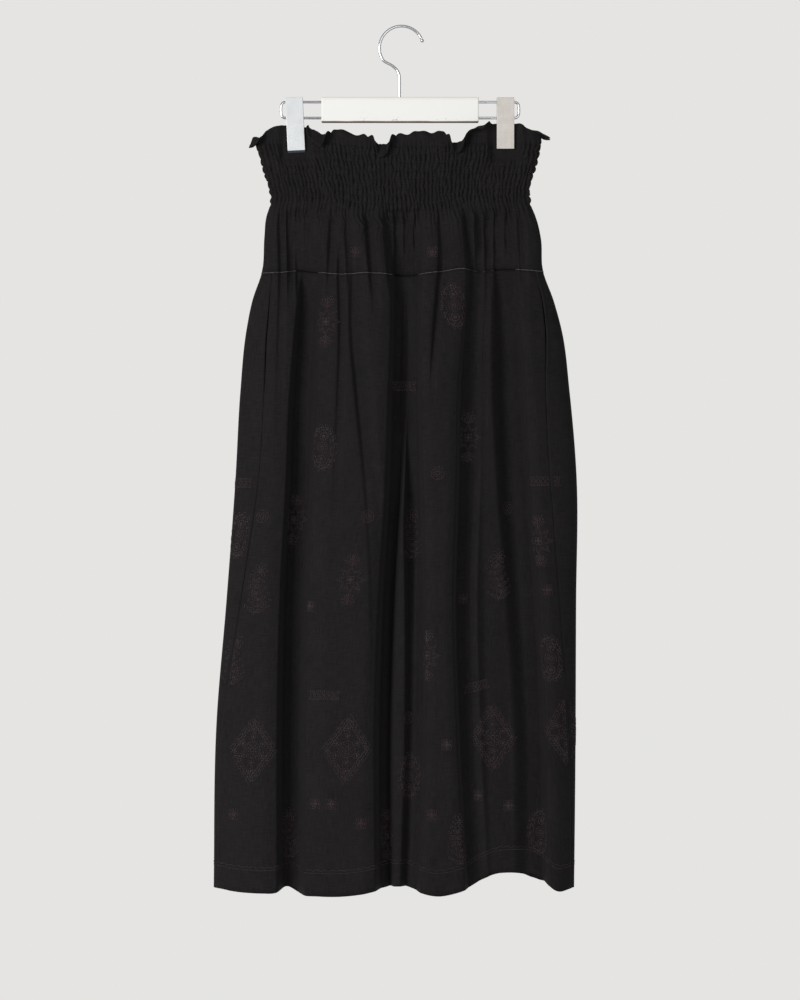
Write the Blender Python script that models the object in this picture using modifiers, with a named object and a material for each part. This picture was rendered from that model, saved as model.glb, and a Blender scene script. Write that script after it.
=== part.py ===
"""A long embroidered skirt, hung by its waist from a clip hanger.

Black woven cloth in four panels: a shirred waist with a ruffled heading and a gathered yoke,
back and front, and a long gathered skirt below the yoke seam, with a pocket in each side seam.
The hanger is a painted wooden bar with a wire hook, a wire loop out of each end and two clips.

The frame: the origin is where the hook hangs, under the top of its arc. +Z is up, +X is to the
right and the back of the skirt, the side that shows, faces -Y. Sizes here are in millimetres.
"""

import math
from collections import namedtuple

import bmesh
import bpy
import numpy as np

MM = 0.001
SEAM_GAP = 0.3
BACK = -1
FRONT = 1

for item in list(bpy.data.objects):
    bpy.data.objects.remove(item, do_unlink=True)

skirt_collection = bpy.data.collections.new("embroidered_skirt")
cutter_collection = bpy.data.collections.new("cutters")
cutter_collection.hide_render = True
for collection in (skirt_collection, cutter_collection):
    bpy.context.scene.collection.children.link(collection)


def make_material(name, color, roughness, metallic=0.0):
    """A Principled material with a linear colour."""
    material = bpy.data.materials.new(name)
    material.use_nodes = True
    shader = material.node_tree.nodes["Principled BSDF"]
    shader.inputs["Base Color"].default_value = (*color, 1.0)
    shader.inputs["Roughness"].default_value = roughness
    shader.inputs["Metallic"].default_value = metallic
    material.diffuse_color = (*color, 1.0)
    return material


BLACK_CLOTH = make_material("black woven cotton", (0.017, 0.015, 0.016), 0.85)
WHITE_PAINT = make_material("white painted wood", (0.84, 0.83, 0.80), 0.45)
BRIGHT_WIRE = make_material("chromed wire", (0.80, 0.80, 0.79), 0.22, 1.0)
CLIP_SILVER = make_material("silver lacquered clip", (0.74, 0.75, 0.73), 0.45, 0.2)
CLIP_GREY = make_material("warm grey lacquered clip", (0.62, 0.58, 0.54), 0.45, 0.2)
PAD_RUBBER = make_material("black rubber pad", (0.02, 0.022, 0.03), 0.8)


# Shape of the hung cloth

# Outer edges of the whole skirt at each height, its half depth from front to back, and how
# square its ends are (2 is an ellipse).
Section = namedtuple("Section", "z left right half_depth square")
SECTIONS = [
    Section(-134.0, -166.0, 162.0, 6.5, 3.0),
    Section(-150.0, -160.4, 158.1, 8.5, 3.0),
    Section(-168.5, -154.7, 152.4, 11.0, 2.8),
    Section(-203.0, -148.2, 148.9, 14.5, 2.6),
    Section(-218.0, -153.5, 156.0, 17.0, 2.5),
    Section(-242.0, -156.0, 162.0, 21.0, 2.4),
    Section(-280.0, -158.5, 164.5, 26.0, 2.3),
    Section(-313.5, -169.6, 176.5, 31.0, 2.2),
    Section(-348.0, -176.5, 185.7, 35.0, 2.2),
    Section(-417.0, -183.4, 193.8, 40.0, 2.1),
    Section(-520.0, -189.2, 202.0, 44.0, 2.1),
    Section(-658.0, -199.5, 202.0, 48.0, 2.1),
    Section(-796.0, -211.0, 202.0, 51.0, 2.1),
    Section(-1000.0, -213.9, 200.7, 54.0, 2.1),
]

# The yoke runs from under the shirring to its seam, and the lower panels from there to the hem.
YOKE_TOP = -207.0
SEAM_Z = -280.0
PANEL_LENGTH = 707.0
EDGE_HEM_Z = -988.0

# The wavy line of the yoke seam, and the hem of each side.
Level = namedtuple("Level", "x z")
YOKE_SEAM = [
    Level(-170.0, -283.0), Level(-136.0, -282.4), Level(-118.0, -280.5), Level(-92.0, -283.0),
    Level(-66.0, -285.3), Level(-43.0, -283.7), Level(11.0, -286.0), Level(48.0, -282.1),
    Level(74.0, -279.0), Level(93.0, -282.1), Level(112.0, -279.4), Level(170.0, -281.5),
]
BACK_HEM = [
    Level(-214.0, -987.0), Level(-183.0, -990.5), Level(-156.0, -991.0), Level(-142.0, -990.5),
    Level(-129.0, -985.5), Level(-116.0, -991.5), Level(-92.0, -993.0), Level(-70.0, -993.0),
    Level(-45.0, -990.5), Level(-20.0, -985.5), Level(-4.0, -983.0), Level(10.0, -984.0),
    Level(24.0, -989.0), Level(44.0, -992.5), Level(62.0, -989.5), Level(79.0, -984.0),
    Level(93.0, -976.0), Level(106.0, -970.5), Level(134.0, -969.0), Level(150.0, -971.0),
    Level(163.0, -977.5), Level(176.0, -988.5), Level(201.0, -991.0),
]
FRONT_HEM = [
    Level(-214.0, -987.0), Level(-150.0, -990.0), Level(-60.0, -986.0), Level(0.0, -989.0),
    Level(60.0, -985.0), Level(105.0, -978.5), Level(150.0, -978.5), Level(180.0, -988.0),
    Level(201.0, -991.0),
]

# Long folds of the lower skirt: the line of each valley at seven heights, how far it goes in
# there, and how wide it is on its left and on its right.
FOLD_HEIGHTS = (-280.0, -350.0, -430.0, -520.0, -660.0, -800.0, -990.0)
FOLD_START = -240.0
FOLD_EASE = 40.0
SPREAD_HEIGHTS = (-430.0, -350.0, -280.0)
SPREAD_SHARE = (1.0, 0.92, 0.84)
Fold = namedtuple("Fold", "x depth left right")
BACK_FOLDS = [
    Fold((-103, -108, -113, -116, -123, -126, -126), (17, 23, 27, 31, 34, 34, 30), 15, 20),
    Fold((0, 0, -2, -5, -13, -17, -16), (15, 20, 24, 28, 32, 32, 24), 13, 11),
    Fold((15, 15, 15, 17, 20, 20, 14), (14, 19, 23, 24, 24, 22, 18), 16, 10),
    Fold((84, 79, 74, 72, 68, 72, 82), (9, 15, 19, 21, 22, 20, 16), 9, 21),
    Fold((127, 130, 134, 139, 150, 157, 160), (15, 21, 26, 29, 29, 26, 22), 31, 11),
]
FRONT_FOLDS = [
    Fold((-134, -136, -140, -146, -150, -154, -158), (5, 8, 10, 12, 14, 15, 15), 13, 15),
    Fold((-74, -72, -68, -64, -60, -62, -66), (11, 17, 22, 25, 27, 27, 25), 16, 18),
    Fold((-34, -36, -38, -36, -30, -26, -22), (8, 12, 14, 12, 8, 4, 0), 12, 13),
    Fold((14, 16, 20, 26, 36, 40, 44), (11, 19, 25, 29, 31, 30, 26), 15, 17),
    Fold((62, 64, 66, 72, 84, 92, 98), (9, 13, 16, 17, 19, 17, 15), 13, 14),
    Fold((112, 118, 126, 134, 146, 152, 158), (7, 12, 14, 15, 16, 17, 16), 13, 15),
]

# Short tucks under the yoke seam, which die out further down, and two wide hollows that set back
# the cloth between long folds.
BACK_TUCKS = [
    Fold((-135, -136, -138, -140, -140, -140, -140), (3, 3, 1, 0, 0, 0, 0), 6, 7),
    Fold((-68, -66, -68, -72, -76, -76, -76), (4, 4, 3, 1, 0, 0, 0), 6, 6),
    Fold((-52, -52, -45, -36, -28, -28, -28), (4, 5, 6, 4, 2, 0, 0), 8, 18),
    Fold((12, 12, 10, 8, 2, 0, -2), (0, 0, 2, 4, 12, 13, 11), 17, 17),
    Fold((46, 40, 36, 34, 34, 34, 34), (6, 5, 0, 0, 0, 0, 0), 4, 6),
    Fold((101, 98, 96, 96, 96, 96, 96), (3, 4, 2, 0, 0, 0, 0), 5, 5),
    Fold((105, 105, 105, 106, 108, 110, 116), (0, 3, 6, 10, 13, 14, 13), 28, 36),
]
FRONT_TUCKS = [
    Fold((-110, -106, -102, -98, -98, -98, -98), (4, 5, 3, 0, 0, 0, 0), 6, 8),
    Fold((-8, -10, -14, -16, -16, -16, -16), (3, 4, 2, 0, 0, 0, 0), 6, 6),
    Fold((42, 40, 38, 36, 36, 36, 36), (3, 3, 1, 0, 0, 0, 0), 5, 6),
    Fold((92, 90, 92, 96, 96, 96, 96), (4, 5, 2, 0, 0, 0, 0), 6, 6),
]

# Wide hollows of the yoke, which the long folds grow out of.
Hollow = namedtuple("Hollow", "x_top x_seam depth half_width")
BACK_HOLLOWS = [Hollow(-116, -114, 12.0, 18), Hollow(0, 7, 13.0, 20), Hollow(109, 112, 9.0, 30)]
FRONT_HOLLOWS = [Hollow(-80, -76, 9.0, 19), Hollow(12, 16, 9.5, 19), Hollow(108, 112, 8.0, 22)]
HOLLOW_HEIGHTS = (-350.0, -300.0, -275.0, -235.0, -208.0)
HOLLOW_SHARE = (0.0, 0.25, 0.7, 1.0, 0.0)

# Gathers of the yoke: each runs from the shirring to the seam.
Gather = namedtuple("Gather", "x_top x_seam depth")
BACK_GATHERS = [
    Gather(-147, -149, 1.5), Gather(-136, -134, 5.0), Gather(-126, -125, 7.5),
    Gather(-116, -115, 10.0), Gather(-107, -105, 9.0), Gather(-75, -79, 5.0),
    Gather(-60, -56, 4.0), Gather(-38, -31, 7.0), Gather(-16, -10, 8.0),
    Gather(-3, -1, 9.0), Gather(8, 9, 11.0), Gather(20, 20, 8.5), Gather(46, 52, 5.0),
    Gather(76, 81, 8.5), Gather(90, 91, 6.0), Gather(101, 102, 8.0),
    Gather(112, 113, 9.0), Gather(125, 126, 7.5), Gather(139, 141, 4.0),
]
FRONT_GATHERS = [
    Gather(-144, -146, 2.5), Gather(-128, -127, 4.0), Gather(-108, -110, 5.0),
    Gather(-92, -91, 4.0), Gather(-76, -74, 6.0), Gather(-54, -52, 4.0),
    Gather(-36, -34, 6.0), Gather(-20, -18, 4.0), Gather(-6, -5, 5.0),
    Gather(12, 14, 6.5), Gather(28, 31, 4.0), Gather(44, 46, 5.5), Gather(64, 62, 6.5),
    Gather(86, 84, 4.0), Gather(104, 106, 5.5), Gather(122, 124, 4.5), Gather(142, 146, 3.0),
]
GATHER_HEIGHTS = (-350.0, -312.0, -280.0, -250.0, -222.0, -207.0)
GATHER_SHARE = (0.0, 0.3, 0.85, 1.0, 0.8, 0.0)
GATHER_HALF_WIDTH = 6.5
BOTH_SHARE = 0.4
CLEAR_HALF_DEPTH = 4.4

# Waist: nine rows of elastic thread, ribs drawn up between them, and the ruffle above.
FIRST_ELASTIC = -134.0
ELASTIC_ROWS = 9
ELASTIC_PITCH = 8.6
LAST_ELASTIC = FIRST_ELASTIC - (ELASTIC_ROWS - 1) * ELASTIC_PITCH
RIBS = 56
RIB_HEIGHT = 1.5
RUFFLE_TURN = 2.9
LIP_TURN = 0.19
ROLL_LENGTH = 6.3
ROLL_RISE = 2.5
SAG = 10.0
SAG_END = 80.0
SAG_EASE = 32.0
SAG_AT_TOP = 0.35

# The ruffle above the first elastic row: how high it stands, and how much more of it curls over,
# outward or, where the number is below 0, inward.
Wave = namedtuple("Wave", "x height lip")
BACK_WAVES = [
    Wave(-166, 8, 15), Wave(-161, 6, 12), Wave(-157, 4, 6), Wave(-153, 13, 2), Wave(-146, 18, 1),
    Wave(-139, 21, 0), Wave(-132, 21, 0), Wave(-112, 18.5, 0), Wave(-107, 18, 0),
    Wave(-101, 16, 14), Wave(-96, 14, 19),
    Wave(-90, 10, 17), Wave(-84, 10.5, 8), Wave(-76, 13, -4), Wave(-62, 13.5, -5),
    Wave(-53, 10.5, -4), Wave(-42, 10.5, -4), Wave(-34, 9, 4), Wave(-27, 4, 14),
    Wave(-21, 0.5, 20), Wave(-15, 2.5, 14), Wave(-9, 9, 5), Wave(0, 12.5, -4), Wave(11, 11, -4),
    Wave(17, 14.5, -5), Wave(30, 13.5, -5), Wave(46, 14, -4), Wave(54, 12.5, 1),
    Wave(59, 4, 12), Wave(66, 2.5, 15), Wave(72, 4, 13), Wave(78, 10, 9), Wave(88, 17, 10),
    Wave(96, 20, 11), Wave(104, 22, 2), Wave(107, 22.5, 0), Wave(112, 23, 0), Wave(132, 23, 0),
    Wave(138, 23, 0), Wave(143, 20, 0),
    Wave(148, 13, 3), Wave(158, 11, 8), Wave(166, 11, 15),
]
FRONT_WAVES = [
    Wave(-166, 8, 15), Wave(-158, 5, 6), Wave(-153, 10, 4), Wave(-146, 15, 1), Wave(-139, 20, 0),
    Wave(-132, 20, 0), Wave(-112, 17, 0), Wave(-106, 16, 0), Wave(-98, 13, 9), Wave(-90, 8, 14),
    Wave(-80, 9, 10), Wave(-66, 11, 4),
    Wave(-53, 8, 12), Wave(-42, 7.5, 14), Wave(-33, 5.5, 12), Wave(-27, 2, 16), Wave(-21, 0, 18),
    Wave(-14, 0.5, 16), Wave(-8, 5.5, 10), Wave(2, 10, 4), Wave(12, 8.5, 8), Wave(20, 12, 6),
    Wave(34, 11, 10), Wave(46, 11.5, 4), Wave(54, 8.5, 10), Wave(60, 2, 14), Wave(68, 1, 16),
    Wave(75, 4.5, 12), Wave(88, 14, 8), Wave(97, 18, 4), Wave(104, 20, 0),
    Wave(112, 20.5, 0), Wave(132, 20.5, 0), Wave(138, 20, 0),
    Wave(146, 14, 4), Wave(156, 10, 8), Wave(166, 11, 15),
]

# Where the clips pinch the waist flat.
CLIP_X = 120.4
PINCH_HALF_WIDTH = 13.0
PINCH_EASE = 9.0
PINCH_BOTTOM = -144.0
PINCH_DROP = 24.0
PINCHED_HALF_DEPTH = 2.5

# Cloth walls.
CLOTH = 1.2
RUFFLE_CLOTH = 1.0
HEM_CLOTH = 2.2
HEM_DEPTH = 29.0

# The side seams of the lower skirt lie on the back, and reach its edges near the hem: their
# place across the back, from -1 at its left edge to 1 at its right. Each opens as a pocket.
SideSeam = namedtuple("SideSeam", "z left right")
SIDE_SEAMS = [
    SideSeam(-275.0, -0.93, 0.95), SideSeam(-313.0, -0.88, 0.92), SideSeam(-360.0, -0.86, 0.885),
    SideSeam(-474.0, -0.85, 0.845), SideSeam(-660.0, -0.915, 0.90), SideSeam(-800.0, -0.965, 0.955),
    SideSeam(-1000.0, -0.985, 0.985),
]
Mouth = namedtuple("Mouth", "top bottom open")
LEFT_MOUTH = Mouth(-312.0, -422.0, 0.9)
RIGHT_MOUTH = Mouth(-302.0, -380.0, 0.9)


def through(known, values, at):
    """A smooth curve through the points of a table, read at one place or an array of them."""
    known = np.asarray(known, float)
    values = np.asarray(values, float)
    order = np.argsort(known)
    known = known[order]
    values = values[order]
    slope = np.gradient(values, known)
    at = np.clip(at, known[0], known[-1])
    low = np.clip(np.searchsorted(known, at) - 1, 0, len(known) - 2)
    step = known[low + 1] - known[low]
    part = (at - known[low]) / step
    near = values[low] * (1 + 2 * part) * (1 - part) ** 2
    far = values[low + 1] * part**2 * (3 - 2 * part)
    bend = slope[low] * step * part * (1 - part) ** 2
    unbend = slope[low + 1] * step * part**2 * (part - 1)
    return near + far + bend + unbend


def read(rows, field, at, by="z"):
    """One column of a table of named rows, read at a place along another column."""
    return through([getattr(row, by) for row in rows], [getattr(row, field) for row in rows], at)


def ease(amount):
    """0 below 0, 1 above 1, and smooth between them."""
    amount = np.clip(amount, 0.0, 1.0)
    return amount * amount * (3 - 2 * amount)


def trough(distance, left, right):
    """A fold's cross-section: 1 on its floor, steep sides, and soft shoulders that round the
    crowns beyond its width on each side."""
    reach = np.where(distance < 0, -distance / left, distance / right)
    return 0.75 * ease((1 - reach) / 0.65) + 0.25 * ease(1 - reach / 2.1)


def inward(side, x, z):
    """How far the folds draw the cloth in at a place on the back or the front."""
    folds = BACK_FOLDS + BACK_TUCKS if side == BACK else FRONT_FOLDS + FRONT_TUCKS
    below = ease((FOLD_START - z) / FOLD_EASE)
    spread_out = np.interp(z, SPREAD_HEIGHTS, SPREAD_SHARE)
    total = np.zeros(np.broadcast(x, z).shape)
    for fold in folds:
        middle = through(FOLD_HEIGHTS, fold.x, z)
        depth = np.maximum(through(FOLD_HEIGHTS, fold.depth, z), 0.0)
        total = total + below * depth * trough((x - middle) / spread_out, fold.left, fold.right)
    down = np.clip((YOKE_TOP - z) / (YOKE_TOP - SEAM_Z), 0.0, 1.5)
    sunk = np.zeros_like(total)
    for hollow in BACK_HOLLOWS if side == BACK else FRONT_HOLLOWS:
        middle = hollow.x_top + (hollow.x_seam - hollow.x_top) * down
        share = np.interp(z, HOLLOW_HEIGHTS, HOLLOW_SHARE)
        sunk = sunk + share * hollow.depth * trough(x - middle, hollow.half_width, hollow.half_width)
    gathers = BACK_GATHERS if side == BACK else FRONT_GATHERS
    share = np.interp(z, GATHER_HEIGHTS, GATHER_SHARE)
    drawn = np.zeros_like(total)
    for gather in gathers:
        middle = gather.x_top + (gather.x_seam - gather.x_top) * down
        dent = trough(x - middle, GATHER_HALF_WIDTH, GATHER_HALF_WIDTH)
        drawn = np.maximum(drawn, gather.depth * dent)
    both = np.maximum(total, share * drawn) + BOTH_SHARE * np.minimum(total, share * drawn)
    return both + sunk


def pinch(x, z):
    """1 between the jaws of a clip, fading to 0 around them."""
    aside = np.abs(np.abs(x) - CLIP_X)
    across = 1 - ease((aside - PINCH_HALF_WIDTH) / PINCH_EASE)
    down = 1 - ease((PINCH_BOTTOM - z) / PINCH_DROP)
    return across * down


def surface(side, place, z):
    """The cloth's outer surface. Place runs from -1 at the left edge to 1 at the right, and
    beyond them it goes on round the edge to the other side."""
    place, z = np.broadcast_arrays(np.asarray(place, float), np.asarray(z, float))
    turned = np.abs(place) > 1
    across = np.where(turned, np.sign(place) * (2 - np.abs(place)), place)
    faces = np.where(turned, -side, side)
    left = read(SECTIONS, "left", z)
    right = read(SECTIONS, "right", z)
    depth = read(SECTIONS, "half_depth", z)
    square = read(SECTIONS, "square", z)
    x = (left + right) / 2 + (right - left) / 2 * across
    bulge = depth * np.maximum(1 - np.abs(across) ** square, 0.0) ** (1 / square)
    drawn = np.where(faces == BACK, inward(BACK, x, z), inward(FRONT, x, z))
    room = np.maximum(bulge - CLEAR_HALF_DEPTH, 0.1)
    drawn = drawn / (1 + (drawn / room) ** 6) ** (1 / 6)
    y = bulge - drawn * ease((1 - np.abs(across)) / 0.09)
    squeezed = pinch(x, z)
    y = y * (1 - squeezed) + np.minimum(y, PINCHED_HALF_DEPTH) * squeezed
    return np.stack([x, faces * y, z], axis=-1)


def outward(side, place, z):
    """The outward direction of the cloth's surface."""
    small = 1e-3
    along = surface(side, place + small, z) - surface(side, place - small, z)
    down = surface(side, place, z - 0.5) - surface(side, place, z + 0.5)
    normal = np.cross(along, down) * side
    return normal / np.linalg.norm(normal, axis=-1, keepdims=True)


def evenly(side, z, count, end_gap):
    """Places at equal distances round one side at a height, up to a small gap at each end."""
    angle = np.linspace(-math.pi / 2, math.pi / 2, 1601)
    place = np.sin(angle)
    points = surface(side, place, np.full(place.shape, z))
    length = np.concatenate([[0], np.cumsum(np.linalg.norm(np.diff(points, axis=0), axis=1))])
    wanted = np.linspace(end_gap, length[-1] - end_gap, count)
    return np.interp(wanted, length, place)


# Meshes

def bridge(first, first_keys, second, second_keys):
    """Faces between two rows of vertex numbers, whose keys rise along them."""
    if len(first) == len(second) and np.allclose(first_keys, second_keys, atol=1e-9):
        return [
            (first[i], first[i + 1], second[i + 1], second[i]) for i in range(len(first) - 1)
        ]
    faces = []
    i = 0
    j = 0
    while i < len(first) - 1 or j < len(second) - 1:
        next_first = first_keys[i + 1] if i < len(first) - 1 else math.inf
        next_second = second_keys[j + 1] if j < len(second) - 1 else math.inf
        if next_first <= next_second:
            faces.append((first[i], first[i + 1], second[j]))
            i += 1
        else:
            faces.append((first[i], second[j + 1], second[j]))
            j += 1
    return faces


def add_object(name, mesh, material):
    """Puts a mesh in the skirt's collection, shaded smooth."""
    item = bpy.data.objects.new(name, mesh)
    skirt_collection.objects.link(item)
    mesh.materials.append(material)
    mesh.shade_smooth()
    return item


Row = namedtuple("Row", "points places down")


def cloth_wall(name, outer, inner):
    """A closed wall of cloth between outer rows and inner rows, each from the top down."""
    vertices = []
    numbered = []
    for rows in (outer, inner):
        numbers = []
        for row in rows:
            numbers.append(list(range(len(vertices), len(vertices) + len(row.points))))
            vertices.extend(row.points * MM)
        numbered.append(numbers)
    faces = []
    for rows, numbers in zip((outer, inner), numbered):
        for k in range(len(rows) - 1):
            faces += bridge(numbers[k], rows[k].places, numbers[k + 1], rows[k + 1].places)
    for k in (0, -1):
        faces += bridge(numbered[0][k], outer[k].places, numbered[1][k], inner[k].places)
        faces += bridge(
            [numbers[k] for numbers in numbered[0]], [row.down for row in outer],
            [numbers[k] for numbers in numbered[1]], [row.down for row in inner],
        )
    mesh = bpy.data.meshes.new(name)
    mesh.from_pydata(vertices, [], faces)
    work = bmesh.new()
    work.from_mesh(mesh)
    bmesh.ops.recalc_face_normals(work, faces=work.faces)
    work.to_mesh(mesh)
    work.free()
    return add_object(name, mesh, BLACK_CLOTH)


# Waist and yoke panels: ruffle, shirring and gathers in one piece of cloth

RUFFLE_COLUMNS = 61
RUFFLE_ROWS = (1.0, 0.78, 0.56, 0.34, 0.14)
YOKE_ROWS = (-213.0, -230.0, -254.0)


def sag(x):
    """How far the waist sags between the clips at a place along it."""
    return SAG * ease((SAG_END - np.abs(x)) / SAG_EASE)


def ruffle(side, place, share):
    """The ruffle's outer surface, a share of its length up from the first elastic row."""
    x = section_x(place, np.full(place.shape, FIRST_ELASTIC))
    start = FIRST_ELASTIC - SAG_AT_TOP * sag(x)
    base = surface(side, place, start)
    level = outward(side, place, start)
    level[:, 2] = 0.0
    level /= np.linalg.norm(level, axis=-1, keepdims=True)
    waves = BACK_WAVES if side == BACK else FRONT_WAVES
    height = np.maximum(read(waves, "height", x, by="x"), 0.0)
    lip = read(waves, "lip", x, by="x")
    length = height + np.abs(lip)
    straight = np.maximum(height - ROLL_RISE, 0.0)
    bend = np.sign(lip) * np.minimum(LIP_TURN * np.abs(lip), RUFFLE_TURN)
    steps = 30
    out = np.zeros(place.shape)
    up = np.zeros(place.shape)
    for step in range(steps):
        reached = length * share * (step + 0.5) / steps
        turn = bend * ease((reached - straight) / ROLL_LENGTH)
        out += np.sin(turn) * share / steps * length
        up += np.cos(turn) * share / steps * length
    points = base + level * out[:, None]
    points[:, 2] += up
    return points


def ruffle_normal(side, place, share):
    """The outward direction of the ruffle's surface."""
    along = ruffle(side, place + 1e-3, share) - ruffle(side, place - 1e-3, share)
    up = ruffle(side, place, share + 0.02) - ruffle(side, place, share - 0.02)
    normal = np.cross(up, along) * side
    return normal / np.linalg.norm(normal, axis=-1, keepdims=True)


def yoke_places(side):
    """Columns of the yoke: one in each gather's valley and two on each crown between them."""
    gathers = BACK_GATHERS if side == BACK else FRONT_GATHERS
    middle = (SECTIONS[6].left + SECTIONS[6].right) / 2
    half = (SECTIONS[6].right - SECTIONS[6].left) / 2
    valleys = [(gather.x_seam - middle) / half for gather in gathers]
    end = 1 - 2e-5
    knots = [-end, -0.988] + valleys + [0.988, end]
    places = [knots[0], knots[1]]
    for low, high in zip(knots[1:-2], knots[2:-1]):
        places += [low + 0.3 * (high - low), low + 0.7 * (high - low), high]
    return np.array(places + [knots[-1]])


def yoke_columns(side, z):
    """The yoke's columns at a height, each kept on its own gather."""
    gathers = BACK_GATHERS if side == BACK else FRONT_GATHERS
    seam_half = (SECTIONS[6].right - SECTIONS[6].left) / 2
    seam_middle = (SECTIONS[6].left + SECTIONS[6].right) / 2
    middle = (read(SECTIONS, "left", z) + read(SECTIONS, "right", z)) / 2
    half = (read(SECTIONS, "right", z) - read(SECTIONS, "left", z)) / 2
    down = float(np.clip((YOKE_TOP - z) / (YOKE_TOP - SEAM_Z), 0.0, 1.0))
    known = [-1.0, -0.985] + [(g.x_seam - seam_middle) / seam_half for g in gathers] + [0.985, 1.0]
    moved = [-1.0, -0.985]
    moved += [(g.x_top + (g.x_seam - g.x_top) * down - middle) / half for g in gathers]
    moved += [0.985, 1.0]
    return np.interp(yoke_places(side), known, moved)


def seam_height(x):
    return read(YOKE_SEAM, "z", x, by="x")


def section_x(place, z):
    left = read(SECTIONS, "left", z)
    right = read(SECTIONS, "right", z)
    across = np.where(np.abs(place) > 1, np.sign(place) * (2 - np.abs(place)), place)
    return (left + right) / 2 + (right - left) / 2 * across


def waist_panel(name, side):
    """One side's ruffle, shirring and yoke as one wall of cloth."""
    outer = []
    inner = []
    ruffle_places = evenly(side, FIRST_ELASTIC, RUFFLE_COLUMNS, 0.2)
    for share in RUFFLE_ROWS:
        points = ruffle(side, ruffle_places, share)
        normal = ruffle_normal(side, ruffle_places, share)
        outer.append(Row(points, ruffle_places, -share))
        inner.append(Row(points - normal * RUFFLE_CLOTH, ruffle_places, -share))
    for row in range(ELASTIC_ROWS):
        z = FIRST_ELASTIC - row * ELASTIC_PITCH
        places = evenly(side, z, 2 * RIBS + 1, 0.2)
        share = SAG_AT_TOP + (1 - SAG_AT_TOP) * row / (ELASTIC_ROWS - 1)
        heights = z - share * sag(section_x(places, z))
        base = surface(side, places, heights)
        crown = np.arange(2 * RIBS + 1) % 2
        slant = 0.5 * np.sin(2.1 * row + 0.35 * np.arange(2 * RIBS + 1))
        free = 1 - pinch(base[:, 0], z)
        height = RIB_HEIGHT * crown * free * (0.6 if row in (0, ELASTIC_ROWS - 1) else 1.0)
        points = base + outward(side, places, heights) * height[:, None]
        points[1:-1, 0] += (slant * free)[1:-1]
        outer.append(Row(points, places, row + 1.0))
        if row % 4 == 0:
            places = evenly(side, z, RUFFLE_COLUMNS, 0.2)
            heights = z - share * sag(section_x(places, z))
            points = surface(side, places, heights) - outward(side, places, heights) * CLOTH
            inner.append(Row(points, places, row + 1.0))
    for number, z in enumerate(YOKE_ROWS + (None,)):
        if z is None:
            places = yoke_columns(side, SEAM_Z)
            heights = seam_height(section_x(places, SEAM_Z)) + SEAM_GAP / 2
        else:
            places = yoke_columns(side, z)
            heights = z - sag(section_x(places, z)) * (z - SEAM_Z) / (LAST_ELASTIC - SEAM_Z)
        points = surface(side, places, heights)
        outer.append(Row(points, places, 10.0 + number))
        under = points - outward(side, places, heights) * CLOTH
        inner.append(Row(under, places, 10.0 + number))
    return cloth_wall(name, outer, inner)


waist_panel("yoke_back", BACK)
waist_panel("yoke_front", FRONT)


# Lower skirt panels, gathered into the yoke seam and folded to the hem

SKIRT_ROWS = (0.0, 0.03, 0.075, 0.13, 0.2, 0.28, 0.37, 0.47, 0.58, 0.69, 0.8, 0.9, 1.0)
BACK_COLUMNS = (9, 10, 4, 7, 6, 4, 7)
FRONT_COLUMNS = (7, 7, 5, 6, 5, 6, 7)
WRAP_COLUMNS = 3


def side_seam(side_name, z, moved):
    """A side seam's place at a height, moved along the cloth by some millimetres."""
    place = read(SIDE_SEAMS, side_name, z)
    step = 1e-3
    stretch = np.linalg.norm(surface(BACK, place + step, z) - surface(BACK, place - step, z), axis=-1)
    return place + moved * 2 * step / stretch


def mouth_opening(mouth, z):
    """How far a pocket's edges stand apart at a height."""
    share = np.clip((mouth.top - z) / (mouth.top - mouth.bottom), 0.0, 1.0)
    return SEAM_GAP + 0.1 + mouth.open * np.sin(math.pi * share) ** 0.7


def panel_edges(side, z):
    """The left and right edge of a lower panel, as places on its own side."""
    left_gap = mouth_opening(LEFT_MOUTH, z) / 2
    right_gap = mouth_opening(RIGHT_MOUTH, z) / 2
    if side == BACK:
        return side_seam("left", z, left_gap), side_seam("right", z, -right_gap)
    left = side_seam("left", z, -left_gap)
    right = side_seam("right", z, right_gap)
    return -2 - left, 2 - right


def column_places(side, z):
    """A lower panel's columns at a height: they follow its long folds, closer in the valleys."""
    folds = BACK_FOLDS if side == BACK else FRONT_FOLDS
    counts = BACK_COLUMNS if side == BACK else FRONT_COLUMNS
    left, right = panel_edges(side, z)
    middle = (read(SECTIONS, "left", z) + read(SECTIONS, "right", z)) / 2
    half = (read(SECTIONS, "right", z) - read(SECTIONS, "left", z)) / 2
    valleys = [float((through(FOLD_HEIGHTS, fold.x, z) - middle) / half) for fold in folds]
    start = left if side == BACK else -1.0
    end = right if side == BACK else 1.0
    places = []
    knots = [float(start)] + valleys + [float(end)]
    for number, (low, high) in enumerate(zip(knots[:-1], knots[1:])):
        share = np.arange(counts[number]) / counts[number]
        if number == 0:
            share = share**1.6 * (1 - 0.35 * share) + 0.35 * share * share
        elif number == len(knots) - 2:
            share = 1 - (1 - share) ** 1.6
        else:
            share = (1 - np.cos(math.pi * share)) / 2 * 0.6 + share * 0.4
        places += list(low + (high - low) * share)
    places.append(knots[-1])
    if side == FRONT:
        share = (np.arange(1, WRAP_COLUMNS + 1) / WRAP_COLUMNS) ** 1.5
        places = list(-1 + (left + 1) * share[::-1]) + places + list(1 + (right - 1) * share)
    return np.array(places)


def seam_places(side):
    """The columns along the top of a lower panel, which are those of the yoke above it."""
    left, right = (float(edge) for edge in panel_edges(side, SEAM_Z))
    own = yoke_columns(side, SEAM_Z)
    other = yoke_columns(-side, SEAM_Z)
    beyond = np.concatenate([-2 - other[other < 0], 2 - other[other > 0]])
    places = np.sort(np.concatenate([own, beyond]))
    inside = places[(places > left + 0.004) & (places < right - 0.004)]
    return np.concatenate([[left], inside, [right]])


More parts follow.
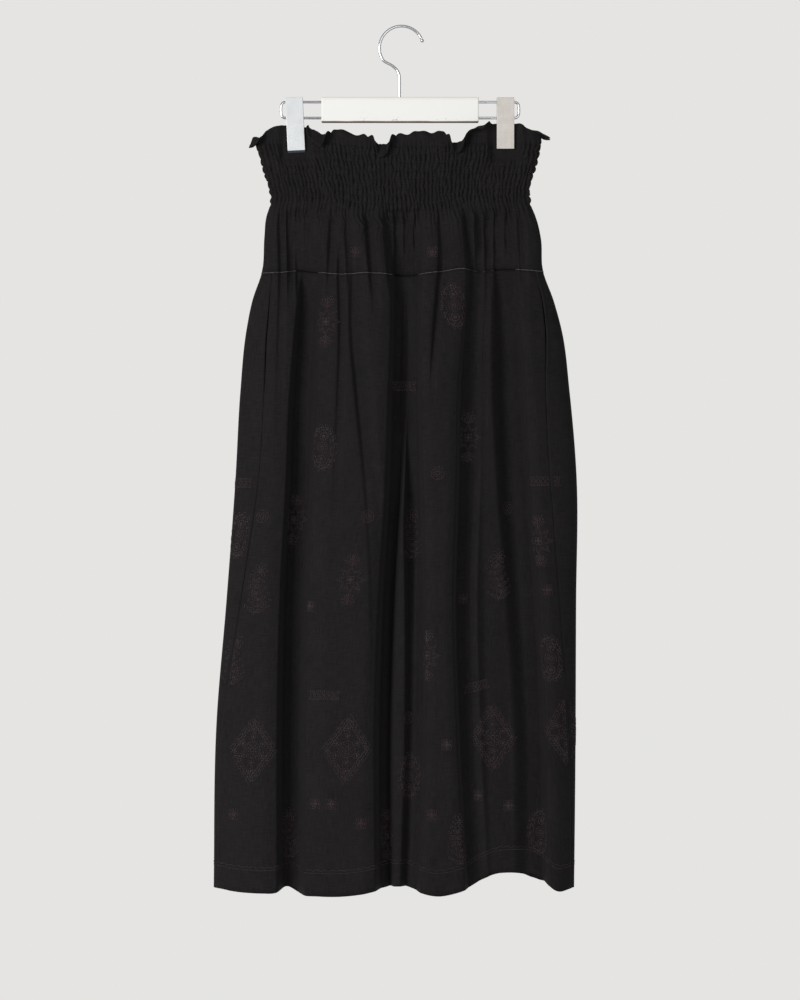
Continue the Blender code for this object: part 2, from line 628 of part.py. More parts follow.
def hang(side, places, share):
    """Heights down a lower panel: 0 along the yoke seam and 1 along the hem."""
    hem = BACK_HEM if side == BACK else FRONT_HEM
    z = np.full(places.shape, SEAM_Z - PANEL_LENGTH * share)
    for _ in range(3):
        x = section_x(places, z)
        top = seam_height(x) - SEAM_GAP / 2
        wrapped = ease((np.abs(places) - 0.9) / 0.1)
        bottom = read(hem, "z", x, by="x") * (1 - wrapped) + EDGE_HEM_Z * wrapped
        z = top + (bottom - top) * share
    return z


def lower_panel(name, side):
    """One side of the lower skirt, from the yoke seam to the hem, doubled at the hem."""
    hem_share = 1 - HEM_DEPTH / PANEL_LENGTH
    shares = list(SKIRT_ROWS[:-1]) + [hem_share - 0.002, hem_share + 0.002, 1.0]
    outer = []
    inner = []
    for share in shares:
        if share == 0.0:
            places = seam_places(side)
        else:
            places = column_places(side, SEAM_Z - PANEL_LENGTH * share)
        heights = hang(side, places, share)
        thick = HEM_CLOTH if share > hem_share else CLOTH
        points = surface(side, places, heights)
        under = points - outward(side, places, heights) * thick
        outer.append(Row(points, places, share))
        inner.append(Row(under, places, share))
    return cloth_wall(name, outer, inner)


lower_panel("skirt_back", BACK)
lower_panel("skirt_front", FRONT)


# Pocket bags, hanging between the two sides of the skirt from the open side seams

BAG_COLUMNS = 7
BAG_ROWS = 7
BAG_WIDTH = 112.0
BAG_CLOTH = 2.0
BAG_SEAT = 1.2
BAG_INSET = 2.0
Bag = namedtuple("Bag", "name seam sign mouth bottom")
BAGS = [
    Bag("pocket_left", "left", -1, LEFT_MOUTH, -470.0),
    Bag("pocket_right", "right", 1, RIGHT_MOUTH, -462.0),
]


def pocket_bag(bag):
    """A flat bag of doubled cloth: its outer edge is just inside the seam, and it hangs flat."""
    outer = []
    inner = []
    top = bag.mouth.top + 2.0
    for row in range(BAG_ROWS + 1):
        down = row / BAG_ROWS
        z = top + (bag.bottom - top) * down
        edge = side_seam(bag.seam, z, -bag.sign * BAG_INSET)
        start = surface(BACK, edge, z) - outward(BACK, edge, z) * (CLOTH + BAG_SEAT)
        width = BAG_WIDTH * (0.62 + 0.38 * math.sin(math.pi * min(down * 1.1, 1.0) * 0.8))
        share = np.arange(BAG_COLUMNS + 1) / BAG_COLUMNS
        x = start[0] - bag.sign * width * share
        drop = ease((down - 0.72) / 0.28) * 26.0 * (np.abs(share - 0.5) * 2) ** 3
        flat = 3.0 - BAG_CLOTH / 2
        y = start[1] + (flat - start[1]) * ease(share / 0.3)
        heights = np.full(x.shape, z) + drop
        points = np.stack([x, y, heights], axis=-1)
        behind = points + np.array([0.0, BAG_CLOTH, 0.0])
        outer.append(Row(points, share, down))
        inner.append(Row(behind, share, down))
    return cloth_wall(bag.name, outer, inner)


for bag in BAGS:
    pocket_bag(bag)


# Hanger bar: a planed and painted strip of wood, drilled at the top and at both ends

BAR_LENGTH = 180.6
BAR_HEIGHT = 28.6
BAR_THICKNESS = 12.0
BAR_Z = -95.0
BAR_EDGE = 1.0
WIRE_DIAMETER = 3.0
WIRE_SPREAD = 18.3
HOOK_DIAMETER = 3.2
HOLE_CLEARANCE = 0.3
HOLE_DEPTH = 14.0
HOOK_STEM_X = -0.6


def cutter(name, location, direction, diameter, length):
    """A cylinder to drill with, along X or Z."""
    bpy.ops.mesh.primitive_cylinder_add(
        vertices=12, radius=diameter / 2 * MM, depth=length * MM,
        location=[value * MM for value in location],
        rotation=(0, math.pi / 2, 0) if direction == "X" else (0, 0, 0),
    )
    drill = bpy.context.object
    drill.name = name
    for collection in list(drill.users_collection):
        collection.objects.unlink(drill)
    cutter_collection.objects.link(drill)
    drill.hide_render = True
    drill.display_type = "WIRE"
    return drill


def drill_into(item, drill):
    """Cuts one hole with a Boolean."""
    modifier = item.modifiers.new(drill.name, "BOOLEAN")
    modifier.operation = "DIFFERENCE"
    modifier.object = drill


def box(name, size, location, material):
    """A box of a size in millimetres, with its scale applied."""
    bpy.ops.mesh.primitive_cube_add(size=1, location=[value * MM for value in location])
    item = bpy.context.object
    item.name = name
    item.data.name = name
    for vertex in item.data.vertices:
        vertex.co = [part * length * MM for part, length in zip(vertex.co, size)]
    for collection in list(item.users_collection):
        collection.objects.unlink(item)
    skirt_collection.objects.link(item)
    item.data.materials.append(material)
    return item


def soften(item, width, segments):
    """Rounds the edges."""
    bevel = item.modifiers.new("edges", "BEVEL")
    bevel.width = width * MM
    bevel.segments = segments
    bevel.limit_method = "ANGLE"


bar = box("hanger_bar", (BAR_LENGTH, BAR_THICKNESS, BAR_HEIGHT), (0, 0, BAR_Z), WHITE_PAINT)
soften(bar, BAR_EDGE, 2)
for side_name, sign in (("left", -1), ("right", 1)):
    for level_name, level in (("upper", 1), ("lower", -1)):
        place = (
            sign * (BAR_LENGTH / 2 - HOLE_DEPTH / 2 + 1.0), 0, BAR_Z + level * WIRE_SPREAD / 2,
        )
        hole = cutter(
            f"drill_{side_name}_{level_name}", place, "X",
            WIRE_DIAMETER + 2 * HOLE_CLEARANCE, HOLE_DEPTH + 2.0,
        )
        drill_into(bar, hole)
stem_hole = cutter(
    "drill_stem", (HOOK_STEM_X, 0, BAR_Z + BAR_HEIGHT / 2 - HOLE_DEPTH / 2 + 1.0), "Z",
    HOOK_DIAMETER + 2 * HOLE_CLEARANCE, HOLE_DEPTH + 2.0,
)
drill_into(bar, stem_hole)


# Hook and wire loops: bent round wire

HOOK_RADIUS = 25.3
HOOK_CENTRE_X = 1.7
HOOK_CENTRE_Z = HOOK_DIAMETER / 2 - HOOK_RADIUS
HOOK_TIP_ANGLE = 15.0
HOOK_END_ANGLE = 211.0
NECK = [(-8.0, -44.7), (-3.2, -49.4), (-1.0, -54.5), (-0.6, -61.0), (-0.6, -70.0)]
HOOK_BOTTOM = BAR_Z + BAR_HEIGHT / 2 - HOLE_DEPTH + 1.0
LOOP_END = 136.6
LOOP_CORNER = 5.0
LOOP_START = BAR_LENGTH / 2 - HOLE_DEPTH + 2.0


def wire(name, points, diameter, material, knob=None):
    """A wire through points in the XZ plane, with closed ends."""
    curve = bpy.data.curves.new(name, "CURVE")
    curve.dimensions = "3D"
    spline = curve.splines.new("POLY")
    spline.points.add(len(points) - 1)
    for point, (x, z) in zip(spline.points, points):
        point.co = (x * MM, 0.0, z * MM, 1.0)
    if knob:
        spline.points[0].radius = 0.6 * knob
        spline.points[1].radius = knob
        spline.points[2].radius = knob
    curve.bevel_depth = diameter / 2 * MM
    curve.bevel_resolution = 2
    curve.use_fill_caps = True
    curve.materials.append(material)
    spline.use_smooth = True
    item = bpy.data.objects.new(name, curve)
    skirt_collection.objects.link(item)
    return item


hook_points = []
for angle in [HOOK_TIP_ANGLE - 3.0, HOOK_TIP_ANGLE] + list(np.linspace(19, HOOK_END_ANGLE, 21)):
    turn = math.radians(angle)
    hook_points.append(
        (HOOK_CENTRE_X + HOOK_RADIUS * math.cos(turn), HOOK_CENTRE_Z + HOOK_RADIUS * math.sin(turn))
    )
hook_points += NECK + [(HOOK_STEM_X, HOOK_BOTTOM)]
wire("hanger_hook", hook_points, HOOK_DIAMETER, BRIGHT_WIRE, knob=1.25)

for side_name, sign in (("left", -1), ("right", 1)):
    loop_points = [(sign * LOOP_START, BAR_Z + WIRE_SPREAD / 2)]
    for level in (1, -1):
        centre_x = LOOP_END - LOOP_CORNER
        centre_z = BAR_Z + level * (WIRE_SPREAD / 2 - LOOP_CORNER)
        angles = (90, 60, 30, 0) if level == 1 else (0, -30, -60, -90)
        for angle in angles:
            turn = math.radians(angle)
            x = centre_x + LOOP_CORNER * math.cos(turn)
            loop_points.append((sign * x, centre_z + LOOP_CORNER * math.sin(turn)))
    loop_points.append((sign * LOOP_START, BAR_Z - WIRE_SPREAD / 2))
    wire(f"hanger_wire_{side_name}", loop_points, WIRE_DIAMETER, BRIGHT_WIRE)


# Clips: a channel that slides on the wires, two plates and the rubber pads that grip the waist

CLIP_CENTRE_X = 121.2
CLIP_WIDTH = 20.0
CLIP_TOP = -81.0
PLATE_SHEET = 1.2
PLATE_TOP_Y = 4.7
PLATE_JAW_Y = 4.2
CHANNEL_WIDTH = 17.0
CHANNEL_Y = 4.4
CHANNEL_SHEET = 1.0
CHANNEL_TOP = -82.5
CHANNEL_BOTTOM = -108.6
PAD_TOP = -123.0
PAD_SHEET = 1.0

# How far down each clip's plates and pads reach, and its lean from upright in degrees.
Jaw = namedtuple("Jaw", "plate_bottom pad_bottom lean")
LEFT_JAW = Jaw(-142.0, -144.6, 2.7)
RIGHT_JAW = Jaw(-140.0, -139.8, 0.0)


def flat_outline(name, outline, thickness, material):
    """A closed outline extruded evenly to both sides of its plane."""
    curve = bpy.data.curves.new(name, "CURVE")
    curve.dimensions = "2D"
    curve.fill_mode = "BOTH"
    curve.extrude = thickness / 2 * MM
    spline = curve.splines.new("POLY")
    spline.points.add(len(outline) - 1)
    for point, (across, along) in zip(spline.points, outline):
        point.co = (across * MM, along * MM, 0.0, 1.0)
    spline.use_cyclic_u = True
    curve.materials.append(material)
    item = bpy.data.objects.new(name, curve)
    skirt_collection.objects.link(item)
    return item


def as_mesh(item):
    """The curve object made a mesh, with its caps welded on."""
    bpy.context.view_layer.update()
    graph = bpy.context.evaluated_depsgraph_get()
    mesh = bpy.data.meshes.new_from_object(item.evaluated_get(graph))
    work = bmesh.new()
    work.from_mesh(mesh)
    bmesh.ops.remove_doubles(work, verts=work.verts, dist=1e-6)
    bmesh.ops.recalc_face_normals(work, faces=work.faces)
    work.to_mesh(mesh)
    work.free()
    name = item.name
    made = bpy.data.objects.new(name + "_mesh", mesh)
    made.matrix_world = item.matrix_world
    skirt_collection.objects.link(made)
    bpy.data.objects.remove(item, do_unlink=True)
    made.name = name
    return made


def make_clip(side_name, sign, material, jaw):
    """One clip: its channel, plates and pads."""
    half = CHANNEL_WIDTH / 2
    inside = half - CHANNEL_SHEET
    outline = [
        (-half, -CHANNEL_Y), (-inside, -CHANNEL_Y), (-inside, CHANNEL_Y - CHANNEL_SHEET),
        (inside, CHANNEL_Y - CHANNEL_SHEET), (inside, -CHANNEL_Y), (half, -CHANNEL_Y),
        (half, CHANNEL_Y), (-half, CHANNEL_Y),
    ]
    name = f"clip_{side_name}_channel"
    channel = flat_outline(name, outline, CHANNEL_TOP - CHANNEL_BOTTOM, material)
    channel.location = (sign * CLIP_CENTRE_X * MM, 0, (CHANNEL_TOP + CHANNEL_BOTTOM) / 2 * MM)
    channel = as_mesh(channel)
    for level_name, level in (("upper", 1), ("lower", -1)):
        slot = cutter(
            f"slide_{side_name}_{level_name}",
            (sign * CLIP_CENTRE_X, 0, BAR_Z + level * WIRE_SPREAD / 2), "X",
            WIRE_DIAMETER + 2 * HOLE_CLEARANCE, CHANNEL_WIDTH + 4.0,
        )
        drill_into(channel, slot)
    pivot = bpy.data.objects.new(f"clip_{side_name}_pivot", None)
    pivot.location = (sign * CLIP_CENTRE_X * MM, 0, BAR_Z * MM)
    pivot.rotation_euler = (0, -math.radians(jaw.lean), 0)
    skirt_collection.objects.link(pivot)
    pad_middle = (PAD_TOP + jaw.pad_bottom) / 2 - BAR_Z
    for plate_name, faces in (("front", -1), ("back", 1)):
        profile = [
            (faces * PLATE_TOP_Y, CLIP_TOP), (faces * PLATE_TOP_Y, -112.0),
            (faces * PLATE_JAW_Y, -120.0), (faces * PLATE_JAW_Y, jaw.plate_bottom),
            (faces * (PLATE_JAW_Y + PLATE_SHEET), jaw.plate_bottom),
            (faces * (PLATE_JAW_Y + PLATE_SHEET), -120.0),
            (faces * (PLATE_TOP_Y + PLATE_SHEET), -112.0),
            (faces * (PLATE_TOP_Y + PLATE_SHEET), CLIP_TOP),
        ]
        profile = [(across, height - BAR_Z) for across, height in profile]
        plate = flat_outline(f"clip_{side_name}_{plate_name}", profile, CLIP_WIDTH, material)
        plate.rotation_euler = (math.pi / 2, 0, math.pi / 2)
        plate = as_mesh(plate)
        plate.parent = pivot
        pad = box(
            f"clip_{side_name}_pad_{plate_name}",
            (CLIP_WIDTH, PAD_SHEET, PAD_TOP - jaw.pad_bottom),
            (0, faces * (PLATE_JAW_Y - SEAM_GAP - PAD_SHEET / 2), pad_middle),
            PAD_RUBBER,
        )
        pad.parent = pivot


make_clip("left", -1, CLIP_SILVER, LEFT_JAW)
make_clip("right", 1, CLIP_GREY, RIGHT_JAW)

bpy.context.view_layer.update()
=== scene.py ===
import math
from collections import namedtuple

import bmesh
import bpy
import numpy as np
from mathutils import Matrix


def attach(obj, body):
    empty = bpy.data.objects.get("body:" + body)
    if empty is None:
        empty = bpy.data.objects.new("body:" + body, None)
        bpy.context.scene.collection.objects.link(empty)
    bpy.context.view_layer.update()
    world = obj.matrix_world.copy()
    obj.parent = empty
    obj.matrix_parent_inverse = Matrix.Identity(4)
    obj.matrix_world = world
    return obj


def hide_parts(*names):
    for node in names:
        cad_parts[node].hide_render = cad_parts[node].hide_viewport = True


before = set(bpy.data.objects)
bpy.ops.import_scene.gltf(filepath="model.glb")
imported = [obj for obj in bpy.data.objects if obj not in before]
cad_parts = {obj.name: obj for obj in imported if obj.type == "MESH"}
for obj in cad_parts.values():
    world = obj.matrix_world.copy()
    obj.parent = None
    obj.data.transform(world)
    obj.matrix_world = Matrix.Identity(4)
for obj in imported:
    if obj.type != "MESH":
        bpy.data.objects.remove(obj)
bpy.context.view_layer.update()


# Hanger bar
# A planed strip of beech with square ends, rounded slightly along its edges and brushed with
# white paint. The paint is thin: it has yellowed along the top and worn to the wood below.

MM = 0.001
BAR_Z = -95.0
BAR_HEIGHT = 28.6
PAINT_WHITE = "F3F2EE"
PAINT_AGED = "E6DFCF"
BARE_WOOD = "8A6B4B"
PAINT_SPECK = "B9AB93"


def linear(hex_colour):
    """A hex sRGB colour as linear red, green, blue and 1."""
    parts = [int(hex_colour[i : i + 2], 16) / 255 for i in (0, 2, 4)]
    return [p / 12.92 if p <= 0.04045 else ((p + 0.055) / 1.055) ** 2.4 for p in parts] + [1.0]


def add_node(tree, kind, settings=None, values=None, links=None):
    """A node with its settings, the values of its sockets and the links into them."""
    node = tree.nodes.new(kind)
    for name, value in (settings or {}).items():
        setattr(node, name, value)
    for socket, value in (values or {}).items():
        node.inputs[socket].default_value = value
    for socket, source in (links or {}).items():
        tree.links.new(source, node.inputs[socket])
    return node


def start_material(name, values):
    """A new material with its shader's fixed values set, and its tree and shader."""
    made = bpy.data.materials.new(name)
    made.use_nodes = True
    shader = made.node_tree.nodes["Principled BSDF"]
    for socket, value in values.items():
        shader.inputs[socket].default_value = value
    return made, made.node_tree, shader


def noise(tree, place, scale, detail):
    """A noise texture's value at a place, with this many features a metre."""
    values = {"Scale": scale, "Detail": detail}
    return add_node(tree, "ShaderNodeTexNoise", None, values, {"Vector": place}).outputs["Fac"]


def stretched(tree, place, scale):
    """A place scaled by its own amount along each axis."""
    return add_node(tree, "ShaderNodeMapping", None, {"Scale": scale}, {"Vector": place}).outputs[0]


def ramp(tree, value, low, high, bottom=0.0, top=1.0):
    """Bottom where a value is at low, top where it is at high, and even between them."""
    values = {"From Min": low, "From Max": high, "To Min": bottom, "To Max": top}
    return add_node(tree, "ShaderNodeMapRange", None, values, {"Value": value}).outputs[0]


def weighed(tree, value, weight, other):
    """A value times its weight, plus another value."""
    settings = {"operation": "MULTIPLY_ADD"}
    return add_node(tree, "ShaderNodeMath", settings, {1: weight}, {0: value, 2: other}).outputs[0]


def blend(tree, low, high, share):
    """A share of the way between two colours, each in hex or out of another node."""
    mixed = add_node(tree, "ShaderNodeMix", {"data_type": "RGBA"}, links={0: share})
    for socket, colour in ((6, low), (7, high)):
        if isinstance(colour, str):
            mixed.inputs[socket].default_value = linear(colour)
        else:
            tree.links.new(colour, mixed.inputs[socket])
    return mixed.outputs[2]


def roughen(tree, shader, height, strength, depth):
    """Fine relief on a material, some millimetres deep."""
    values = {"Strength": strength, "Distance": depth * MM}
    relief = add_node(tree, "ShaderNodeBump", None, values, {"Height": height})
    tree.links.new(relief.outputs[0], shader.inputs["Normal"])


# Brushed gloss paint: off-white and slightly satin, with brush marks along the strip. It is worn
# through to the wood along the lower edge, and has small brown chips over its lower half.
bar_paint, tree, shader = start_material("brushed white paint on beech", {"Roughness": 0.42})
place = add_node(tree, "ShaderNodeTexCoord").outputs["Object"]
height = add_node(tree, "ShaderNodeSeparateXYZ", links={0: place}).outputs["Z"]
wander = noise(tree, stretched(tree, place, (0.12, 1.0, 1.0)), 160.0, 4.0)
ragged = add_node(
    tree, "ShaderNodeMath", {"operation": "MULTIPLY_ADD"}, {1: 2.4 * MM, 2: -1.2 * MM}, {0: wander}
).outputs[0]
edge_height = weighed(tree, ragged, 1.0, height)
bottom = (BAR_Z - BAR_HEIGHT / 2) * MM
top = (BAR_Z + BAR_HEIGHT / 2) * MM
wear_and_shade = ramp(tree, edge_height, bottom + 1.5 * MM, bottom + 0.5 * MM)
aged = ramp(tree, edge_height, top - 4.0 * MM, top, 0.0, 0.8)
low_half = ramp(tree, height, BAR_Z * MM, bottom + 4.0 * MM, 0.0, 0.16)
chips = weighed(tree, noise(tree, place, 38.0, 1.0), 0.35, noise(tree, place, 420.0, 2.0))
chipped = ramp(tree, weighed(tree, low_half, 1.0, chips), 0.99, 1.04, 0.0, 0.8)
paint = blend(tree, PAINT_WHITE, PAINT_AGED, aged)
paint = blend(tree, paint, PAINT_SPECK, chipped)
paint = blend(tree, paint, BARE_WOOD, wear_and_shade)
tree.links.new(paint, shader.inputs["Base Color"])
# Bristle marks are about 0.4 mm apart. They are drawn at 0.9 mm, which the render can show.
bristles = noise(tree, stretched(tree, place, (0.05, 1.0, 1.0)), 1100.0, 2.0)
roughen(tree, shader, bristles, 0.25, 0.12)

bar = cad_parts["hanger_bar"]
bar.data.materials.clear()
bar.data.materials.append(bar_paint)


# Hook and wire loops
# Round steel wire, bent cold and chromed: the hook has a small ball at its tip and its stem goes
# into the top of the bar, and a loop comes out of each end of the bar for the clips to slide on.

HOOK_DIAMETER = 3.2
HOOK_RADIUS = 25.3
HOOK_CENTRE_X = 1.7
HOOK_CENTRE_Z = HOOK_DIAMETER / 2 - HOOK_RADIUS
HOOK_TIP_ANGLE = 15.0
HOOK_END_ANGLE = 211.0
HOOK_NECK = [(-8.0, -44.7), (-3.2, -49.4), (-1.0, -54.5), (-0.6, -61.0), (-0.6, -70.0)]
HOOK_BOTTOM = -93.7
BALL_RADIUS = 2.1
WIRE_DIAMETER = 3.0
WIRE_SPREAD = 18.3
LOOP_START = 78.3
LOOP_END = 136.6
LOOP_CORNER = 5.0
LOOP_STRAIGHT = 12.0


def placed(name, data):
    """A new object in the scene."""
    item = bpy.data.objects.new(name, data)
    bpy.context.scene.collection.objects.link(item)
    return item


def new_piece(name, mesh, material, nodes=()):
    """Links a finished mesh, which rides on the one body and stands for these CAD nodes."""
    piece = placed(name, mesh)
    mesh.materials.clear()
    mesh.materials.append(material)
    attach(piece, "root")
    if nodes:
        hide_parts(*nodes)
    return piece


def smooth_path(corners, spacing):
    """Points at an even spacing along a smooth curve through these corners."""
    corners = np.asarray(corners, float)
    run = np.concatenate([[0], np.cumsum(np.linalg.norm(np.diff(corners, axis=0), axis=1))])
    slope = np.gradient(corners, run, axis=0)
    at = np.linspace(0, run[-1], max(2, int(run[-1] / spacing)) + 1)
    low = np.clip(np.searchsorted(run, at) - 1, 0, len(run) - 2)
    step = (run[low + 1] - run[low])[:, None]
    part = ((at - run[low]) / (run[low + 1] - run[low]))[:, None]
    near = corners[low] * (1 + 2 * part) * (1 - part) ** 2
    far = corners[low + 1] * part**2 * (3 - 2 * part)
    return near + far + step * part * (1 - part) * (slope[low] * (1 - part) - slope[low + 1] * part)


def swept(name, path, facing, radii, sides):
    """A round section carried along a path, closed at its ends. Facing is a direction across it."""
    along = np.gradient(path, axis=0)
    along /= np.linalg.norm(along, axis=1, keepdims=True)
    across = np.cross(along, facing)
    across /= np.linalg.norm(across, axis=1, keepdims=True)
    up = np.cross(across, along)
    turn = np.linspace(0, 2 * math.pi, sides, endpoint=False)
    rings = path[:, None] + np.asarray(radii)[:, None, None] * (
        up[:, None] * np.cos(turn)[None, :, None] + across[:, None] * np.sin(turn)[None, :, None]
    )
    faces = []
    for i in range(len(path) - 1):
        for j in range(sides):
            k = (j + 1) % sides
            faces.append((i * sides + j, i * sides + k, (i + 1) * sides + k, (i + 1) * sides + j))
    faces.append(tuple(range(sides)))
    faces.append(tuple(range((len(path) - 1) * sides, len(path) * sides)))
    mesh = bpy.data.meshes.new(name)
    mesh.from_pydata((rings.reshape(-1, 3) * MM).tolist(), [], faces)
    work = bmesh.new()
    work.from_mesh(mesh)
    bmesh.ops.recalc_face_normals(work, faces=work.faces)
    work.to_mesh(mesh)
    work.free()
    mesh.shade_smooth()
    return mesh


# Bright chromium plate on drawn wire: a mirror with very faint drawing marks.
chrome, tree, shader = start_material(
    "bright chromed wire", {"Base Color": linear("DEDFE0"), "Metallic": 1.0}
)
place = add_node(tree, "ShaderNodeTexCoord").outputs["Object"]
# Drawing marks are under 0.1 mm wide. They are drawn at 1 mm, as slight changes of gloss.
gloss = ramp(tree, noise(tree, place, 900.0, 2.0), 0.0, 1.0, 0.12, 0.26)
tree.links.new(gloss, shader.inputs["Roughness"])

turns = np.radians(np.linspace(HOOK_TIP_ANGLE, HOOK_END_ANGLE, 25))
hook_corners = [
    (HOOK_CENTRE_X + HOOK_RADIUS * math.cos(turn), 0.0, HOOK_CENTRE_Z + HOOK_RADIUS * math.sin(turn))
    for turn in turns
]
hook_corners += [(x, 0.0, z) for x, z in HOOK_NECK]
hook_corners += [(HOOK_NECK[-1][0], 0.0, HOOK_BOTTOM)]
hook_path = smooth_path(hook_corners, 1.0)
run = np.arange(len(hook_path)) * 1.0
from_ball = np.clip(run - BALL_RADIUS, -BALL_RADIUS, BALL_RADIUS)
ball = np.sqrt(np.maximum(BALL_RADIUS**2 - from_ball**2, 0.25))
hook_radii = np.where(run < 2 * BALL_RADIUS, np.maximum(ball, 0.5), HOOK_DIAMETER / 2)
hook_mesh = swept("hook_wire", hook_path, np.array([0.0, 1.0, 0.0]), hook_radii, 20)
new_piece("hook_wire", hook_mesh, chrome, ["hanger_hook"])

for side_name, sign in (("left", -1), ("right", 1)):
    straight_end = sign * (LOOP_END - LOOP_CORNER - LOOP_STRAIGHT)
    corners = [(sign * LOOP_START, 0.0, BAR_Z + WIRE_SPREAD / 2)]
    corners += [(straight_end, 0.0, BAR_Z + WIRE_SPREAD / 2)]
    for level, angles in ((1, np.linspace(90, 0, 8)), (-1, np.linspace(0, -90, 8))):
        for turn in np.radians(angles):
            x = LOOP_END - LOOP_CORNER + LOOP_CORNER * math.cos(turn)
            z = BAR_Z + level * (WIRE_SPREAD / 2 - LOOP_CORNER) + LOOP_CORNER * math.sin(turn)
            corners.append((sign * x, 0.0, z))
    corners += [(straight_end, 0.0, BAR_Z - WIRE_SPREAD / 2)]
    corners += [(sign * LOOP_START, 0.0, BAR_Z - WIRE_SPREAD / 2)]
    loop_path = smooth_path(corners, 1.0)
    radii = np.full(len(loop_path), WIRE_DIAMETER / 2)
    loop_mesh = swept(f"loop_wire_{side_name}", loop_path, np.array([0.0, 1.0, 0.0]), radii, 16)
    new_piece(f"loop_wire_{side_name}", loop_mesh, chrome, [f"hanger_wire_{side_name}"])


# Clips
# Pressed sheet steel: a channel that slides on the wire loop, and two flat jaws with a thin
# rubber pad in each. Both are stove lacquered in the same silver: the left one is painted cool and
# bright as lit, and the right one warm grey as painted shade and the reflection of darker things.

PLATE_ROUNDING = 0.4
CHANNEL_ROUNDING = 0.2
PAD_ROUNDING = 0.3


def round_edges(node, rounding):
    """A copy of a CAD node's mesh, merged, with its sharp edges rounded."""
    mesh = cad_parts[node].data.copy()
    work = bmesh.new()
    work.from_mesh(mesh)
    bmesh.ops.remove_doubles(work, verts=work.verts, dist=1e-6)
    bmesh.ops.dissolve_limit(
        work, angle_limit=math.radians(1), verts=work.verts[:], edges=work.edges[:]
    )
    bmesh.ops.recalc_face_normals(work, faces=work.faces)
    sharp = [e for e in work.edges if e.is_manifold and e.calc_face_angle() > math.radians(40)]
    made = bmesh.ops.bevel(
        work, geom=sharp, offset=rounding * MM, segments=3, profile=0.5, affect="EDGES",
        clamp_overlap=True,
    )
    for face in work.faces:
        face.smooth = False
    for face in made["faces"]:
        face.smooth = True
    work.to_mesh(mesh)
    work.free()
    return mesh


def lacquer(name, body, streak, roughness):
    """Satin stoving lacquer over sheet steel: nearly even, with faint brushed streaks."""
    made, tree, shader = start_material(name, {"Metallic": 0.25, "Roughness": roughness})
    place = add_node(tree, "ShaderNodeTexCoord").outputs["Object"]
    # The sheet's grain is about 0.2 mm. It is drawn at 0.8 mm so that it shows.
    grain = noise(tree, stretched(tree, place, (1.0, 1.0, 0.03)), 1200.0, 3.0)
    mixed = weighed(tree, grain, 0.5, noise(tree, place, 90.0, 2.0))
    colour = blend(tree, body, streak, ramp(tree, mixed, 0.55, 0.95))
    tree.links.new(colour, shader.inputs["Base Color"])
    roughen(tree, shader, grain, 0.12, 0.05)
    return made


# One lacquer twice: the left clip's cool silver is painted as lit, and the right clip's warm grey is
# painted shade and a darker reflection.
clip_lacquers_lit_and_shaded = {
    "left": (lacquer("silver lacquer on steel, painted as lit", "E4E6E6", "DADCDD", 0.36), "clip_silver"),
    "right": (lacquer("warm grey lacquer on steel", "D0CAC3", "C6BFB7", 0.42), "clip_grey"),
}

# Moulded rubber: dull blue-black, slightly grainy.
pad_rubber, tree, shader = start_material("moulded black rubber", {"Roughness": 0.7})
place = add_node(tree, "ShaderNodeTexCoord").outputs["Object"]
grit = noise(tree, place, 1500.0, 2.0)
tree.links.new(blend(tree, "1E232C", "2A303A", grit), shader.inputs["Base Color"])
roughen(tree, shader, grit, 0.3, 0.1)

for side_name, (finish, slot_name) in clip_lacquers_lit_and_shaded.items():
    for part_name, rounding in (
        ("channel", CHANNEL_ROUNDING), ("front", PLATE_ROUNDING), ("back", PLATE_ROUNDING),
    ):
        node = f"clip_{side_name}_{part_name}"
        new_piece(f"{node}_pressed", round_edges(node, rounding), finish, [node])
    for part_name in ("pad_front", "pad_back"):
        node = f"clip_{side_name}_{part_name}"
        new_piece(f"{node}_moulded", round_edges(node, PAD_ROUNDING), pad_rubber, [node])


# Waist and yoke panels
# Fine woven black cotton, one piece each for back and front: a ruffled heading, nine rows of
# elastic thread that draw the cloth into puffs, and a gathered yoke down to the lapped seam.

SEAM_GAP = 0.3
BACK = -1
FRONT = 1

Section = namedtuple("Section", "z left right half_depth square")
SECTIONS = [
    Section(-134.0, -166.0, 162.0, 6.5, 3.0),
    Section(-150.0, -160.4, 158.1, 8.5, 3.0),
    Section(-168.5, -154.7, 152.4, 11.0, 2.8),
    Section(-203.0, -148.2, 148.9, 14.5, 2.6),
    Section(-218.0, -153.5, 156.0, 17.0, 2.5),
    Section(-242.0, -156.0, 162.0, 21.0, 2.4),
    Section(-280.0, -158.5, 164.5, 26.0, 2.3),
    Section(-313.5, -169.6, 176.5, 31.0, 2.2),
    Section(-348.0, -176.5, 185.7, 35.0, 2.2),
    Section(-417.0, -183.4, 193.8, 40.0, 2.1),
    Section(-520.0, -189.2, 202.0, 44.0, 2.1),
    Section(-658.0, -199.5, 202.0, 48.0, 2.1),
    Section(-796.0, -211.0, 202.0, 51.0, 2.1),
    Section(-1000.0, -213.9, 200.7, 54.0, 2.1),
]

# The yoke runs from under the shirring to its wavy seam.
YOKE_TOP = -207.0
SEAM_Z = -280.0
Level = namedtuple("Level", "x z")
YOKE_SEAM = [
    Level(-170.0, -283.0), Level(-136.0, -282.4), Level(-118.0, -280.5), Level(-92.0, -283.0),
    Level(-66.0, -285.3), Level(-43.0, -283.7), Level(11.0, -286.0), Level(48.0, -282.1),
    Level(74.0, -279.0), Level(93.0, -282.1), Level(112.0, -279.4), Level(170.0, -281.5),
]

